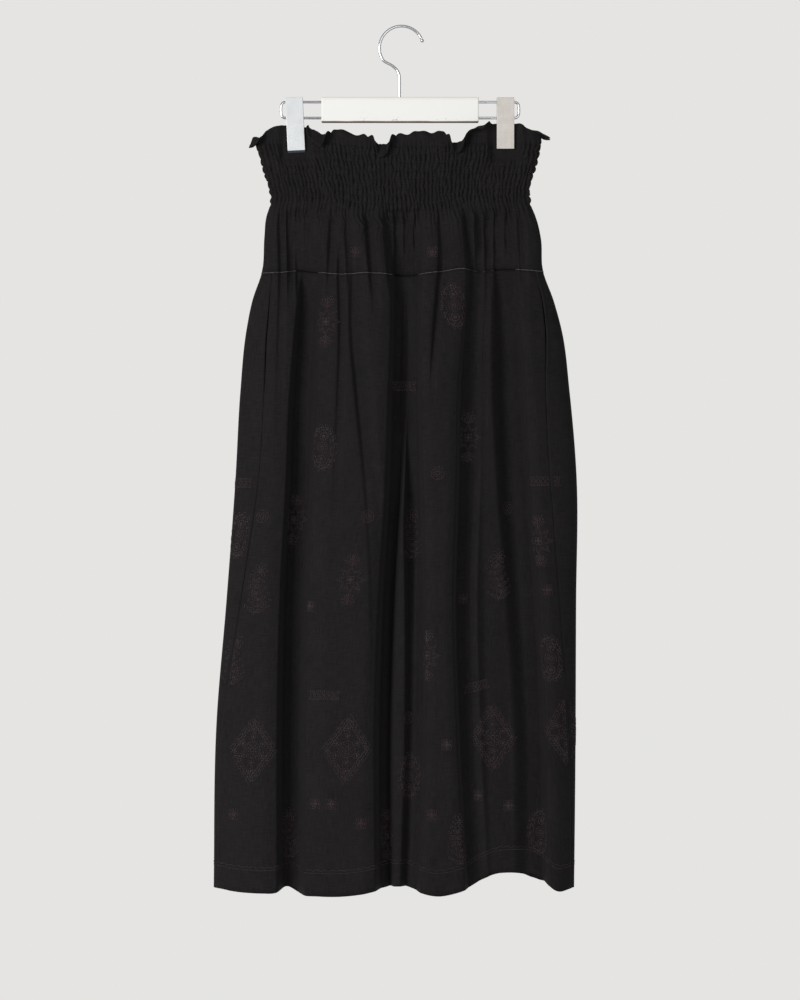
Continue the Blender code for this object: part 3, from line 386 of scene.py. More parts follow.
# Long folds of the lower skirt, which begin in the yoke: the line of each valley at seven
# heights, how far it goes in there, and how wide it is on its left and on its right.
FOLD_HEIGHTS = (-280.0, -350.0, -430.0, -520.0, -660.0, -800.0, -990.0)
FOLD_START = -240.0
FOLD_EASE = 40.0
SPREAD_HEIGHTS = (-430.0, -350.0, -280.0)
SPREAD_SHARE = (1.0, 0.92, 0.84)
Fold = namedtuple("Fold", "x depth left right")
BACK_FOLDS = [
    Fold((-103, -108, -113, -116, -123, -126, -126), (17, 23, 27, 31, 34, 34, 30), 15, 20),
    Fold((0, 0, -2, -5, -13, -17, -16), (15, 20, 24, 28, 32, 32, 24), 13, 11),
    Fold((15, 15, 15, 17, 20, 20, 14), (14, 19, 23, 24, 24, 22, 18), 16, 10),
    Fold((84, 79, 74, 72, 68, 72, 82), (9, 15, 19, 21, 22, 20, 16), 9, 21),
    Fold((127, 130, 134, 139, 150, 157, 160), (15, 21, 26, 29, 29, 26, 22), 31, 11),
]
FRONT_FOLDS = [
    Fold((-134, -136, -140, -146, -150, -154, -158), (5, 8, 10, 12, 14, 15, 15), 13, 15),
    Fold((-74, -72, -68, -64, -60, -62, -66), (11, 17, 22, 25, 27, 27, 25), 16, 18),
    Fold((-34, -36, -38, -36, -30, -26, -22), (8, 12, 14, 12, 8, 4, 0), 12, 13),
    Fold((14, 16, 20, 26, 36, 40, 44), (11, 19, 25, 29, 31, 30, 26), 15, 17),
    Fold((62, 64, 66, 72, 84, 92, 98), (9, 13, 16, 17, 19, 17, 15), 13, 14),
    Fold((112, 118, 126, 134, 146, 152, 158), (7, 12, 14, 15, 16, 17, 16), 13, 15),
]

# Short tucks under the yoke seam, which die out further down, and two wide hollows that set back
# the cloth between long folds.
BACK_TUCKS = [
    Fold((-135, -136, -138, -140, -140, -140, -140), (3, 3, 1, 0, 0, 0, 0), 6, 7),
    Fold((-68, -66, -68, -72, -76, -76, -76), (4, 4, 3, 1, 0, 0, 0), 6, 6),
    Fold((-52, -52, -45, -36, -28, -28, -28), (4, 5, 6, 4, 2, 0, 0), 8, 18),
    Fold((12, 12, 10, 8, 2, 0, -2), (0, 0, 2, 4, 12, 13, 11), 17, 17),
    Fold((46, 40, 36, 34, 34, 34, 34), (6, 5, 0, 0, 0, 0, 0), 4, 6),
    Fold((101, 98, 96, 96, 96, 96, 96), (3, 4, 2, 0, 0, 0, 0), 5, 5),
    Fold((105, 105, 105, 106, 108, 110, 116), (0, 3, 6, 10, 13, 14, 13), 28, 36),
]
FRONT_TUCKS = [
    Fold((-110, -106, -102, -98, -98, -98, -98), (4, 5, 3, 0, 0, 0, 0), 6, 8),
    Fold((-8, -10, -14, -16, -16, -16, -16), (3, 4, 2, 0, 0, 0, 0), 6, 6),
    Fold((42, 40, 38, 36, 36, 36, 36), (3, 3, 1, 0, 0, 0, 0), 5, 6),
    Fold((92, 90, 92, 96, 96, 96, 96), (4, 5, 2, 0, 0, 0, 0), 6, 6),
]

# Wide hollows of the yoke, which the long folds grow out of.
Hollow = namedtuple("Hollow", "x_top x_seam depth half_width")
BACK_HOLLOWS = [Hollow(-116, -114, 12.0, 18), Hollow(0, 7, 13.0, 20), Hollow(109, 112, 9.0, 30)]
FRONT_HOLLOWS = [Hollow(-80, -76, 9.0, 19), Hollow(12, 16, 9.5, 19), Hollow(108, 112, 8.0, 22)]
HOLLOW_HEIGHTS = (-350.0, -300.0, -275.0, -235.0, -208.0)
HOLLOW_SHARE = (0.0, 0.25, 0.7, 1.0, 0.0)

# Gathers of the yoke: each runs from the shirring to the seam.
Gather = namedtuple("Gather", "x_top x_seam depth")
BACK_GATHERS = [
    Gather(-147, -149, 1.5), Gather(-136, -134, 5.0), Gather(-126, -125, 7.5),
    Gather(-116, -115, 10.0), Gather(-107, -105, 9.0), Gather(-75, -79, 5.0),
    Gather(-60, -56, 4.0), Gather(-38, -31, 7.0), Gather(-16, -10, 8.0),
    Gather(-3, -1, 9.0), Gather(8, 9, 11.0), Gather(20, 20, 8.5), Gather(46, 52, 5.0),
    Gather(76, 81, 8.5), Gather(90, 91, 6.0), Gather(101, 102, 8.0),
    Gather(112, 113, 9.0), Gather(125, 126, 7.5), Gather(139, 141, 4.0),
]
FRONT_GATHERS = [
    Gather(-144, -146, 2.5), Gather(-128, -127, 4.0), Gather(-108, -110, 5.0),
    Gather(-92, -91, 4.0), Gather(-76, -74, 6.0), Gather(-54, -52, 4.0),
    Gather(-36, -34, 6.0), Gather(-20, -18, 4.0), Gather(-6, -5, 5.0),
    Gather(12, 14, 6.5), Gather(28, 31, 4.0), Gather(44, 46, 5.5), Gather(64, 62, 6.5),
    Gather(86, 84, 4.0), Gather(104, 106, 5.5), Gather(122, 124, 4.5), Gather(142, 146, 3.0),
]
GATHER_HEIGHTS = (-350.0, -312.0, -280.0, -250.0, -222.0, -207.0)
GATHER_SHARE = (0.0, 0.3, 0.85, 1.0, 0.8, 0.0)
GATHER_HALF_WIDTH = 6.5
BOTH_SHARE = 0.4
CLEAR_HALF_DEPTH = 4.4

FIRST_ELASTIC = -134.0
ELASTIC_ROWS = 9
ELASTIC_PITCH = 8.6
LAST_ELASTIC = FIRST_ELASTIC - (ELASTIC_ROWS - 1) * ELASTIC_PITCH
PUFFS = 68
PUFF_HEIGHT = 2.8
RUFFLE_TURN = 2.9
LIP_TURN = 0.19
ROLL_LENGTH = 6.3
ROLL_RISE = 2.5
SAG = 10.0
SAG_END = 80.0
SAG_EASE = 32.0
SAG_AT_TOP = 0.35

# The ruffle above the first elastic row: how high it stands, and how much more of it curls over,
# outward or, where the number is below 0, inward.
Wave = namedtuple("Wave", "x height lip")
BACK_WAVES = [
    Wave(-166, 8, 15), Wave(-161, 6, 12), Wave(-157, 4, 6), Wave(-153, 13, 2), Wave(-146, 18, 1),
    Wave(-139, 21, 0), Wave(-132, 21, 0), Wave(-112, 18.5, 0), Wave(-107, 18, 0),
    Wave(-101, 16, 14), Wave(-96, 14, 19),
    Wave(-90, 10, 17), Wave(-84, 10.5, 8), Wave(-76, 13, -4), Wave(-62, 13.5, -5),
    Wave(-53, 10.5, -4), Wave(-42, 10.5, -4), Wave(-34, 9, 4), Wave(-27, 4, 14),
    Wave(-21, 0.5, 20), Wave(-15, 2.5, 14), Wave(-9, 9, 5), Wave(0, 12.5, -4), Wave(11, 11, -4),
    Wave(17, 14.5, -5), Wave(30, 13.5, -5), Wave(46, 14, -4), Wave(54, 12.5, 1),
    Wave(59, 4, 12), Wave(66, 2.5, 15), Wave(72, 4, 13), Wave(78, 10, 9), Wave(88, 17, 10),
    Wave(96, 20, 11), Wave(104, 22, 2), Wave(107, 22.5, 0), Wave(112, 23, 0), Wave(132, 23, 0),
    Wave(138, 23, 0), Wave(143, 20, 0),
    Wave(148, 13, 3), Wave(158, 11, 8), Wave(166, 11, 15),
]
FRONT_WAVES = [
    Wave(-166, 8, 15), Wave(-158, 5, 6), Wave(-153, 10, 4), Wave(-146, 15, 1), Wave(-139, 20, 0),
    Wave(-132, 20, 0), Wave(-112, 17, 0), Wave(-106, 16, 0), Wave(-98, 13, 9), Wave(-90, 8, 14),
    Wave(-80, 9, 10), Wave(-66, 11, 4),
    Wave(-53, 8, 12), Wave(-42, 7.5, 14), Wave(-33, 5.5, 12), Wave(-27, 2, 16), Wave(-21, 0, 18),
    Wave(-14, 0.5, 16), Wave(-8, 5.5, 10), Wave(2, 10, 4), Wave(12, 8.5, 8), Wave(20, 12, 6),
    Wave(34, 11, 10), Wave(46, 11.5, 4), Wave(54, 8.5, 10), Wave(60, 2, 14), Wave(68, 1, 16),
    Wave(75, 4.5, 12), Wave(88, 14, 8), Wave(97, 18, 4), Wave(104, 20, 0),
    Wave(112, 20.5, 0), Wave(132, 20.5, 0), Wave(138, 20, 0),
    Wave(146, 14, 4), Wave(156, 10, 8), Wave(166, 11, 15),
]

CLIP_X = 120.4
PINCH_HALF_WIDTH = 13.0
PINCH_EASE = 9.0
PINCH_BOTTOM = -144.0
PINCH_DROP = 24.0
PINCHED_HALF_DEPTH = 2.5


def through(known, values, at):
    """A smooth curve through the points of a table, read at one place or an array of them."""
    known = np.asarray(known, float)
    values = np.asarray(values, float)
    order = np.argsort(known)
    known = known[order]
    values = values[order]
    slope = np.gradient(values, known)
    at = np.clip(at, known[0], known[-1])
    low = np.clip(np.searchsorted(known, at) - 1, 0, len(known) - 2)
    step = known[low + 1] - known[low]
    part = (at - known[low]) / step
    near = values[low] * (1 + 2 * part) * (1 - part) ** 2
    far = values[low + 1] * part**2 * (3 - 2 * part)
    bend = slope[low] * step * part * (1 - part) ** 2
    unbend = slope[low + 1] * step * part**2 * (part - 1)
    return near + far + bend + unbend


def read(rows, field, at, by="z"):
    """One column of a table of named rows, read at a place along another column."""
    return through([getattr(row, by) for row in rows], [getattr(row, field) for row in rows], at)


def ease(amount):
    """0 below 0, 1 above 1, and smooth between them."""
    amount = np.clip(amount, 0.0, 1.0)
    return amount * amount * (3 - 2 * amount)


def trough(distance, left, right):
    """A fold's cross-section: 1 on its floor, steep sides and soft, rounded shoulders."""
    reach = np.where(distance < 0, -distance / left, distance / right)
    return 0.75 * ease((1 - reach) / 0.65) + 0.25 * ease(1 - reach / 2.1)


def inward(side, x, z):
    """How far the folds draw the cloth in at a place on the back or the front."""
    folds = BACK_FOLDS + BACK_TUCKS if side == BACK else FRONT_FOLDS + FRONT_TUCKS
    below = ease((FOLD_START - z) / FOLD_EASE)
    spread_out = np.interp(z, SPREAD_HEIGHTS, SPREAD_SHARE)
    total = np.zeros(np.broadcast(x, z).shape)
    for fold in folds:
        middle = through(FOLD_HEIGHTS, fold.x, z)
        depth = np.maximum(through(FOLD_HEIGHTS, fold.depth, z), 0.0)
        total = total + below * depth * trough((x - middle) / spread_out, fold.left, fold.right)
    down = np.clip((YOKE_TOP - z) / (YOKE_TOP - SEAM_Z), 0.0, 1.5)
    sunk = np.zeros_like(total)
    for hollow in BACK_HOLLOWS if side == BACK else FRONT_HOLLOWS:
        middle = hollow.x_top + (hollow.x_seam - hollow.x_top) * down
        share = np.interp(z, HOLLOW_HEIGHTS, HOLLOW_SHARE)
        sunk = sunk + share * hollow.depth * trough(x - middle, hollow.half_width, hollow.half_width)
    gathers = BACK_GATHERS if side == BACK else FRONT_GATHERS
    share = np.interp(z, GATHER_HEIGHTS, GATHER_SHARE)
    drawn = np.zeros_like(total)
    for gather in gathers:
        middle = gather.x_top + (gather.x_seam - gather.x_top) * down
        dent = trough(x - middle, GATHER_HALF_WIDTH, GATHER_HALF_WIDTH)
        drawn = np.maximum(drawn, gather.depth * dent)
    both = np.maximum(total, share * drawn) + BOTH_SHARE * np.minimum(total, share * drawn)
    return both + sunk


def pinch(x, z):
    """1 between the jaws of a clip, fading to 0 around them."""
    aside = np.abs(np.abs(x) - CLIP_X)
    across = 1 - ease((aside - PINCH_HALF_WIDTH) / PINCH_EASE)
    down = 1 - ease((PINCH_BOTTOM - z) / PINCH_DROP)
    return across * down


def across_of(place):
    """A place beyond an edge, as the place on the other side that it lies over."""
    return np.where(np.abs(place) > 1, np.sign(place) * (2 - np.abs(place)), place)


def middle_and_half(z):
    """The middle and half the width of the skirt at a height."""
    left = read(SECTIONS, "left", z)
    right = read(SECTIONS, "right", z)
    return (left + right) / 2, (right - left) / 2


def section_x(place, z):
    """How far across a place is."""
    middle, half = middle_and_half(z)
    return middle + half * across_of(place)


def surface(side, place, z):
    """The cloth's outer surface. Place runs from -1 at the left edge to 1 at the right, and
    beyond them it goes on round the edge to the other side."""
    place, z = np.broadcast_arrays(np.asarray(place, float), np.asarray(z, float))
    across = across_of(place)
    faces = np.where(np.abs(place) > 1, -side, side)
    depth = read(SECTIONS, "half_depth", z)
    square = read(SECTIONS, "square", z)
    x = section_x(place, z)
    bulge = depth * np.maximum(1 - np.abs(across) ** square, 0.0) ** (1 / square)
    drawn = np.where(faces == BACK, inward(BACK, x, z), inward(FRONT, x, z))
    room = np.maximum(bulge - CLEAR_HALF_DEPTH, 0.1)
    drawn = drawn / (1 + (drawn / room) ** 6) ** (1 / 6)
    y = bulge - drawn * ease((1 - np.abs(across)) / 0.09)
    squeezed = pinch(x, z)
    y = y * (1 - squeezed) + np.minimum(y, PINCHED_HALF_DEPTH) * squeezed
    return np.stack([x, faces * y, z], axis=-1)


def outward(side, place, z):
    """The outward direction of the cloth's surface."""
    small = 1e-3
    along = surface(side, place + small, z) - surface(side, place - small, z)
    down = surface(side, place, z - 0.5) - surface(side, place, z + 0.5)
    normal = np.cross(along, down) * side
    return normal / np.linalg.norm(normal, axis=-1, keepdims=True)


def turn_of(place):
    """A place as an angle, so that equal angles stay close together round the two edges."""
    angle = np.arcsin(np.clip(across_of(place), -1.0, 1.0))
    return np.where(place > 1, math.pi - angle, np.where(place < -1, -math.pi - angle, angle))


def place_of(turn):
    """The place at an angle."""
    across = np.sin(turn)
    beyond_right = np.where(turn > math.pi / 2, 2 - across, across)
    return np.where(turn < -math.pi / 2, -2 - across, beyond_right)


def measured(side, z, start, end):
    """Places from start to end at a height, and the length of cloth from start to each."""
    turn = np.linspace(float(turn_of(np.float64(start))), float(turn_of(np.float64(end))), 1500)
    places = place_of(turn)
    points = surface(side, places, np.full(places.shape, float(z)))
    length = np.concatenate([[0], np.cumsum(np.linalg.norm(np.diff(points, axis=0), axis=1))])
    return places, length


def spread(side, z, start, end, shares, gap=0.0):
    """Places at shares of the cloth's length between start and end at a height."""
    places, length = measured(side, z, start, end)
    return np.interp(gap + (length[-1] - 2 * gap) * shares, length, places)


def waver(at, seed, waves):
    """A smooth uneven line between about -1 and 1, the same every time for a seed."""
    chooser = np.random.default_rng(seed)
    total = np.zeros(np.shape(at))
    for wave in waves:
        total = total + np.sin(at * wave * (0.8 + 0.4 * chooser.random()) + chooser.random() * 6.283)
    return total / len(waves) ** 0.5


def sag(x):
    """How far the waist sags between the clips at a place along it."""
    return SAG * ease((SAG_END - np.abs(x)) / SAG_EASE)


def ruffle(side, place, share):
    """The ruffle's outer surface, a share of its length up from the first elastic row."""
    x = section_x(place, np.full(place.shape, FIRST_ELASTIC))
    start = FIRST_ELASTIC - SAG_AT_TOP * sag(x)
    base = surface(side, place, start)
    level = outward(side, place, start)
    level[:, 2] = 0.0
    level /= np.linalg.norm(level, axis=-1, keepdims=True)
    waves = BACK_WAVES if side == BACK else FRONT_WAVES
    height = np.maximum(read(waves, "height", x, by="x"), 0.0)
    lip = read(waves, "lip", x, by="x")
    length = height + np.abs(lip)
    straight = np.maximum(height - ROLL_RISE, 0.0)
    bend = np.sign(lip) * np.minimum(LIP_TURN * np.abs(lip), RUFFLE_TURN)
    steps = 30
    out = np.zeros(place.shape)
    up = np.zeros(place.shape)
    for step in range(steps):
        reached = length * share * (step + 0.5) / steps
        turn = bend * ease((reached - straight) / ROLL_LENGTH)
        out += np.sin(turn) * share / steps * length
        up += np.cos(turn) * share / steps * length
    points = base + level * out[:, None]
    points[:, 2] += up
    return points


def ruffle_normal(side, place, share):
    """The outward direction of the ruffle's surface."""
    along = ruffle(side, place + 1e-3, share) - ruffle(side, place - 1e-3, share)
    up = ruffle(side, place, share + 0.02) - ruffle(side, place, share - 0.02)
    normal = np.cross(up, along) * side
    return normal / np.linalg.norm(normal, axis=-1, keepdims=True)


def puff_phase(side, shares, row):
    """The count of puffs along one elastic row: it wanders, so the rows don't line up."""
    seed = 40 + 20 * side + row
    slow = 0.24 * waver(shares, seed, (38.0, 61.0, 97.0))
    quick = 0.11 * waver(shares, seed + 300, (170.0, 263.0))
    return PUFFS * shares + slow + quick


def puff_profile(phase):
    """A puff's section: a round crown between two creases."""
    return np.abs(np.cos(math.pi * phase)) ** 0.7


def puffs(side, shares, rows_down):
    """Height of the puffs at a number of elastic rows down from the first one."""
    row = int(np.clip(math.floor(rows_down), 0, ELASTIC_ROWS - 2))
    part = float(np.clip(rows_down - row, 0.0, 1.0))
    blend = float(ease(part))
    phase = puff_phase(side, shares, row) * (1 - blend) + puff_phase(side, shares, row + 1) * blend
    size = 1 + 0.28 * waver(shares, 900 + 7 * row + side, (210.0, 318.0, 447.0))
    full = math.sin(math.pi * part) ** 0.6 if 0.0 < part < 1.0 else 0.0
    return PUFF_HEIGHT * size * puff_profile(phase) * (0.42 + 0.58 * full) + 0.5 * full


def seam_height(x):
    """The height of the yoke seam at a distance across."""
    return read(YOKE_SEAM, "z", x, by="x")


def baked(item, name):
    """An object's mesh with its modifiers applied. The object itself goes."""
    bpy.context.view_layer.update()
    graph = bpy.context.evaluated_depsgraph_get()
    made = bpy.data.meshes.new_from_object(item.evaluated_get(graph))
    made.name = name
    bpy.data.objects.remove(item, do_unlink=True)
    return made


def cloth_mesh(name, side, points, flat, doubled, thin, thick):
    """A wall of cloth behind a grid of outer points, given in rows from the top down. Flat is
    each point's place on the cut cloth, and the cloth is doubled where doubled is 1."""
    rows, columns = points.shape[:2]
    index = np.arange(rows * columns).reshape(rows, columns)
    corners = [index[:-1, :-1], index[1:, :-1], index[1:, 1:], index[:-1, 1:]]
    if side == FRONT:
        corners.reverse()
    faces = np.stack(corners, axis=-1).reshape(-1, 4)
    mesh = bpy.data.meshes.new(name)
    mesh.from_pydata((points.reshape(-1, 3) * MM).tolist(), [], faces.tolist())
    corner_points = np.empty(len(mesh.loops), np.int32)
    mesh.loops.foreach_get("vertex_index", corner_points)
    layer = mesh.uv_layers.new(name="cut_cloth")
    layer.data.foreach_set("uv", (flat.reshape(-1, 2) * MM)[corner_points].ravel())
    mesh.shade_smooth()
    shell = placed(name + "_shell", mesh)
    group = shell.vertex_groups.new(name="doubled")
    for number in np.flatnonzero(doubled.ravel() > 0.01):
        group.add([int(number)], float(doubled.ravel()[number]), "REPLACE")
    wall = shell.modifiers.new("wall", "SOLIDIFY")
    wall.thickness = thick * MM
    wall.offset = -1
    wall.vertex_group = "doubled"
    wall.thickness_vertex_group = thin / thick
    return baked(shell, name)


# Black cotton, woven plain from slightly uneven yarn and left matt: nearly black, a little
# warmer where light grazes its fibres, with fine streaks along both directions of the threads.
black_cotton, tree, shader = start_material(
    "black plain woven cotton",
    {
        "Roughness": 0.86, "Specular IOR Level": 0.16, "Sheen Weight": 0.05,
        "Sheen Roughness": 0.45, "Sheen Tint": linear("CFC6C4"),
    },
)
cut = add_node(tree, "ShaderNodeUVMap", {"uv_map": "cut_cloth"}).outputs[0]
# The yarn is about 0.35 mm apart. It is drawn at 0.9 mm, with slubs 15 mm long, to show.
warp = noise(tree, stretched(tree, cut, (1100.0, 65.0, 1.0)), 1.0, 2.0)
weft = noise(tree, stretched(tree, cut, (65.0, 1100.0, 1.0)), 1.0, 2.0)
yarn = weighed(tree, warp, 1.0, weft)
tone = weighed(tree, noise(tree, cut, 22.0, 3.0), 0.35, yarn)
cotton_colour = blend(tree, "100E0F", "1F1C1D", ramp(tree, tone, 0.85, 1.5))
tree.links.new(cotton_colour, shader.inputs["Base Color"])
roughen(tree, shader, yarn, 0.55, 0.25)

YOKE_CUT_WIDTH = 480.0
YOKE_CLOTH = 0.7
RUFFLE_CUT = 26.0
RUFFLE_HEM = 4.0
YOKE_COLUMNS = 6 * PUFFS + 1
YOKE_PITCH = 2.6
YOKE_LAST_ROW = -274.0
RUFFLE_ROWS = 14
ROWS_A_PUFF = 7
PANEL_END = 1 - 2e-5
PANEL_GAP = 0.2
RIB_SHARE = 0.45
FLUTTER = 0.6
RUFFLE_DIP = 0.7
FADE_LENGTH = 15.0
FADE_SPREAD = 7.0


def waist_panel(side):
    """The rows of one side's ruffle, shirring and yoke, and each row's place down the cut."""
    shares = np.linspace(0, 1, YOKE_COLUMNS)
    rows = []
    depths = []
    places = spread(side, FIRST_ELASTIC, -PANEL_END, PANEL_END, shares, PANEL_GAP)
    x = section_x(places, FIRST_ELASTIC)
    flute = waver(shares, 71 + side, (118.0, 163.0))
    dip = waver(shares, 171 + side, (62.0, 104.0))
    free = 1 - pinch(x, FIRST_ELASTIC)
    ends = ease(np.minimum(shares, 1 - shares) / 0.012)
    profile = puff_profile(puff_phase(side, shares, 0))
    for share in np.linspace(1.0, 0.08, RUFFLE_ROWS):
        points = ruffle(side, places, share)
        ribs = profile * RIB_SHARE * PUFF_HEIGHT * (1 - share) ** 2.5
        flutter = FLUTTER * ease(share) * flute * ends + ribs
        points = points + ruffle_normal(side, places, share) * (free * flutter)[:, None]
        points[:, 2] += free * RUFFLE_DIP * share**2 * dip
        rows.append(points)
        depths.append(RUFFLE_CUT * (1 - share))
    ends = ease(np.minimum(shares, 1 - shares) / 0.006)
    for rows_down in np.linspace(0, ELASTIC_ROWS - 1, ROWS_A_PUFF * (ELASTIC_ROWS - 1) + 1):
        z = FIRST_ELASTIC - rows_down * ELASTIC_PITCH
        places = spread(side, z, -PANEL_END, PANEL_END, shares, PANEL_GAP)
        sagging = SAG_AT_TOP + (1 - SAG_AT_TOP) * rows_down / (ELASTIC_ROWS - 1)
        heights = z - sagging * sag(section_x(places, z))
        base = surface(side, places, heights)
        free = 1 - pinch(base[:, 0], z)
        raised = puffs(side, shares, rows_down) * free * ends
        rows.append(base + outward(side, places, heights) * raised[:, None])
        depths.append(RUFFLE_CUT + rows_down * ELASTIC_PITCH)
    last_phase = puff_phase(side, shares, ELASTIC_ROWS - 1)
    fade = FADE_LENGTH + FADE_SPREAD * waver(shares, 511 + side, (88.0, 141.0))
    below = np.arange(LAST_ELASTIC - YOKE_PITCH * 0.6, YOKE_LAST_ROW, -YOKE_PITCH)
    for z in [*below, SEAM_Z]:
        places = spread(side, z, -PANEL_END, PANEL_END, shares, PANEL_GAP)
        x = section_x(places, z)
        top = LAST_ELASTIC - sag(x)
        seam = seam_height(x) + SEAM_GAP / 2
        down = (LAST_ELASTIC - z) / (LAST_ELASTIC - SEAM_Z)
        heights = top + (seam - top) * down
        base = surface(side, places, heights)
        left = np.exp(-((top - heights) / np.maximum(fade, 6.0)) ** 1.2)
        swell = 0.35 + 0.65 * ease((top - heights) / 5.0)
        raised = (PUFF_HEIGHT * puff_profile(last_phase) - 0.6) * left * swell * ends
        raised = raised + 0.22 * ends * waver(base[:, 0] / 9.0 + heights / 60.0, 33, (1.0, 1.7))
        rows.append(base + outward(side, places, heights) * raised[:, None])
        depths.append(RUFFLE_CUT + float(FIRST_ELASTIC - np.mean(heights)))
    return np.stack(rows), np.array(depths), shares


def waist_cloth(name, side, node):
    """One side's waist as a finished piece."""
    points, depths, shares = waist_panel(side)
    flat = np.stack(np.meshgrid(shares * YOKE_CUT_WIDTH, depths), axis=-1)
    hemmed = np.broadcast_to((depths < RUFFLE_HEM)[:, None], points.shape[:2]).astype(float)
    mesh = cloth_mesh(name, side, points, flat, hemmed, YOKE_CLOTH, 1.2)
    piece = new_piece(name, mesh, black_cotton, [node])
    return piece


waist_cloth("waist_cloth_back", BACK, "yoke_back")
waist_cloth("waist_cloth_front", FRONT, "yoke_front")


# Lower skirt panels
# The same black cotton, cut straight and gathered into the yoke seam. It hangs in long folds to a
# hem turned up 29 mm, and the front panel wraps round both edges to the side seams on the back.

BACK_HEM = [
    Level(-214.0, -987.0), Level(-183.0, -990.5), Level(-156.0, -991.0), Level(-142.0, -990.5),
    Level(-129.0, -985.5), Level(-116.0, -991.5), Level(-92.0, -993.0), Level(-70.0, -993.0),
    Level(-45.0, -990.5), Level(-20.0, -985.5), Level(-4.0, -983.0), Level(10.0, -984.0),
    Level(24.0, -989.0), Level(44.0, -992.5), Level(62.0, -989.5), Level(79.0, -984.0),
    Level(93.0, -976.0), Level(106.0, -970.5), Level(134.0, -969.0), Level(150.0, -971.0),
    Level(163.0, -977.5), Level(176.0, -988.5), Level(201.0, -991.0),
]
FRONT_HEM = [
    Level(-214.0, -987.0), Level(-150.0, -990.0), Level(-60.0, -986.0), Level(0.0, -989.0),
    Level(60.0, -985.0), Level(105.0, -978.5), Level(150.0, -978.5), Level(180.0, -988.0),
    Level(201.0, -991.0),
]
PANEL_LENGTH = 707.0
EDGE_HEM_Z = -988.0
HEM_DEPTH = 29.0
SKIRT_CUT_WIDTH = 540.0
SKIRT_CLOTH = 0.8
SKIRT_COLUMNS = 390
SKIRT_ROWS = 106
STRIP_WIDTH = 3.7
STRIP_HEIGHT = 0.7
EDGE_DEPTH = 0.45
EDGE_WIDTH = 1.6
SEWN_GAP = 0.02

# The side seams, as places across the back. Each opens as a pocket below the yoke.
SideSeam = namedtuple("SideSeam", "z left right")
SIDE_SEAMS = [
    SideSeam(-275.0, -0.93, 0.95), SideSeam(-313.0, -0.88, 0.92), SideSeam(-360.0, -0.86, 0.885),
    SideSeam(-474.0, -0.85, 0.845), SideSeam(-660.0, -0.915, 0.90), SideSeam(-800.0, -0.965, 0.955),
    SideSeam(-1000.0, -0.985, 0.985),
]
Mouth = namedtuple("Mouth", "top bottom open")
LEFT_MOUTH = Mouth(-312.0, -422.0, 0.9)
RIGHT_MOUTH = Mouth(-302.0, -380.0, 0.9)


def side_seam(side_name, z, moved):
    """A side seam's place at a height, moved along the cloth by some millimetres."""
    place = read(SIDE_SEAMS, side_name, z)
    step = 1e-3
    stretch = np.linalg.norm(surface(BACK, place + step, z) - surface(BACK, place - step, z), axis=-1)
    return place + moved * 2 * step / stretch


def mouth_opening(mouth, z):
    """How far a pocket's edges stand apart at a height."""
    share = np.clip((mouth.top - z) / (mouth.top - mouth.bottom), 0.0, 1.0)
    return SEWN_GAP + mouth.open * np.sin(math.pi * share) ** 0.7


def panel_edges(side, z):
    """The left and right edge of a lower panel, as places on its own side."""
    left_gap = mouth_opening(LEFT_MOUTH, z) / 2
    right_gap = mouth_opening(RIGHT_MOUTH, z) / 2
    if side == BACK:
        return side_seam("left", z, left_gap), side_seam("right", z, -right_gap)
    left = side_seam("left", z, -left_gap)
    right = side_seam("right", z, right_gap)
    return -2 - left, 2 - right


def hem_height(side, places, z):
    """The height of the hem under each place: level where the front wraps round the edges."""
    hem = BACK_HEM if side == BACK else FRONT_HEM
    wrapped = ease((np.abs(places) - 0.9) / 0.1)
    return read(hem, "z", section_x(places, z), by="x") * (1 - wrapped) + EDGE_HEM_Z * wrapped


def hang(side, places, share):
    """Heights down a lower panel: 0 along the yoke seam and 1 along the hem."""
    z = np.full(places.shape, SEAM_Z - PANEL_LENGTH * share)
    for _ in range(3):
        top = seam_height(section_x(places, z)) - SEAM_GAP / 2
        z = top + (hem_height(side, places, z) - top) * share
    return z


def drape(side, place, z):
    """Slight uneven swells of the hanging cloth between its folds."""
    x = section_x(place, z)
    long_swell = waver(x / 15.0 + z / 260.0, 12 + side, (0.6, 1.0, 1.5))
    slow_swell = waver(z / 75.0 + x / 90.0, 52 + side, (0.7, 1.1))
    body = ease((-300.0 - z) / 120.0)
    return body * (0.55 * long_swell + 0.35 * slow_swell)


def draped(side, place, z):
    """The lower skirt's outer surface with its swells."""
    return surface(side, place, z) + outward(side, place, z) * drape(side, place, z)[..., None]


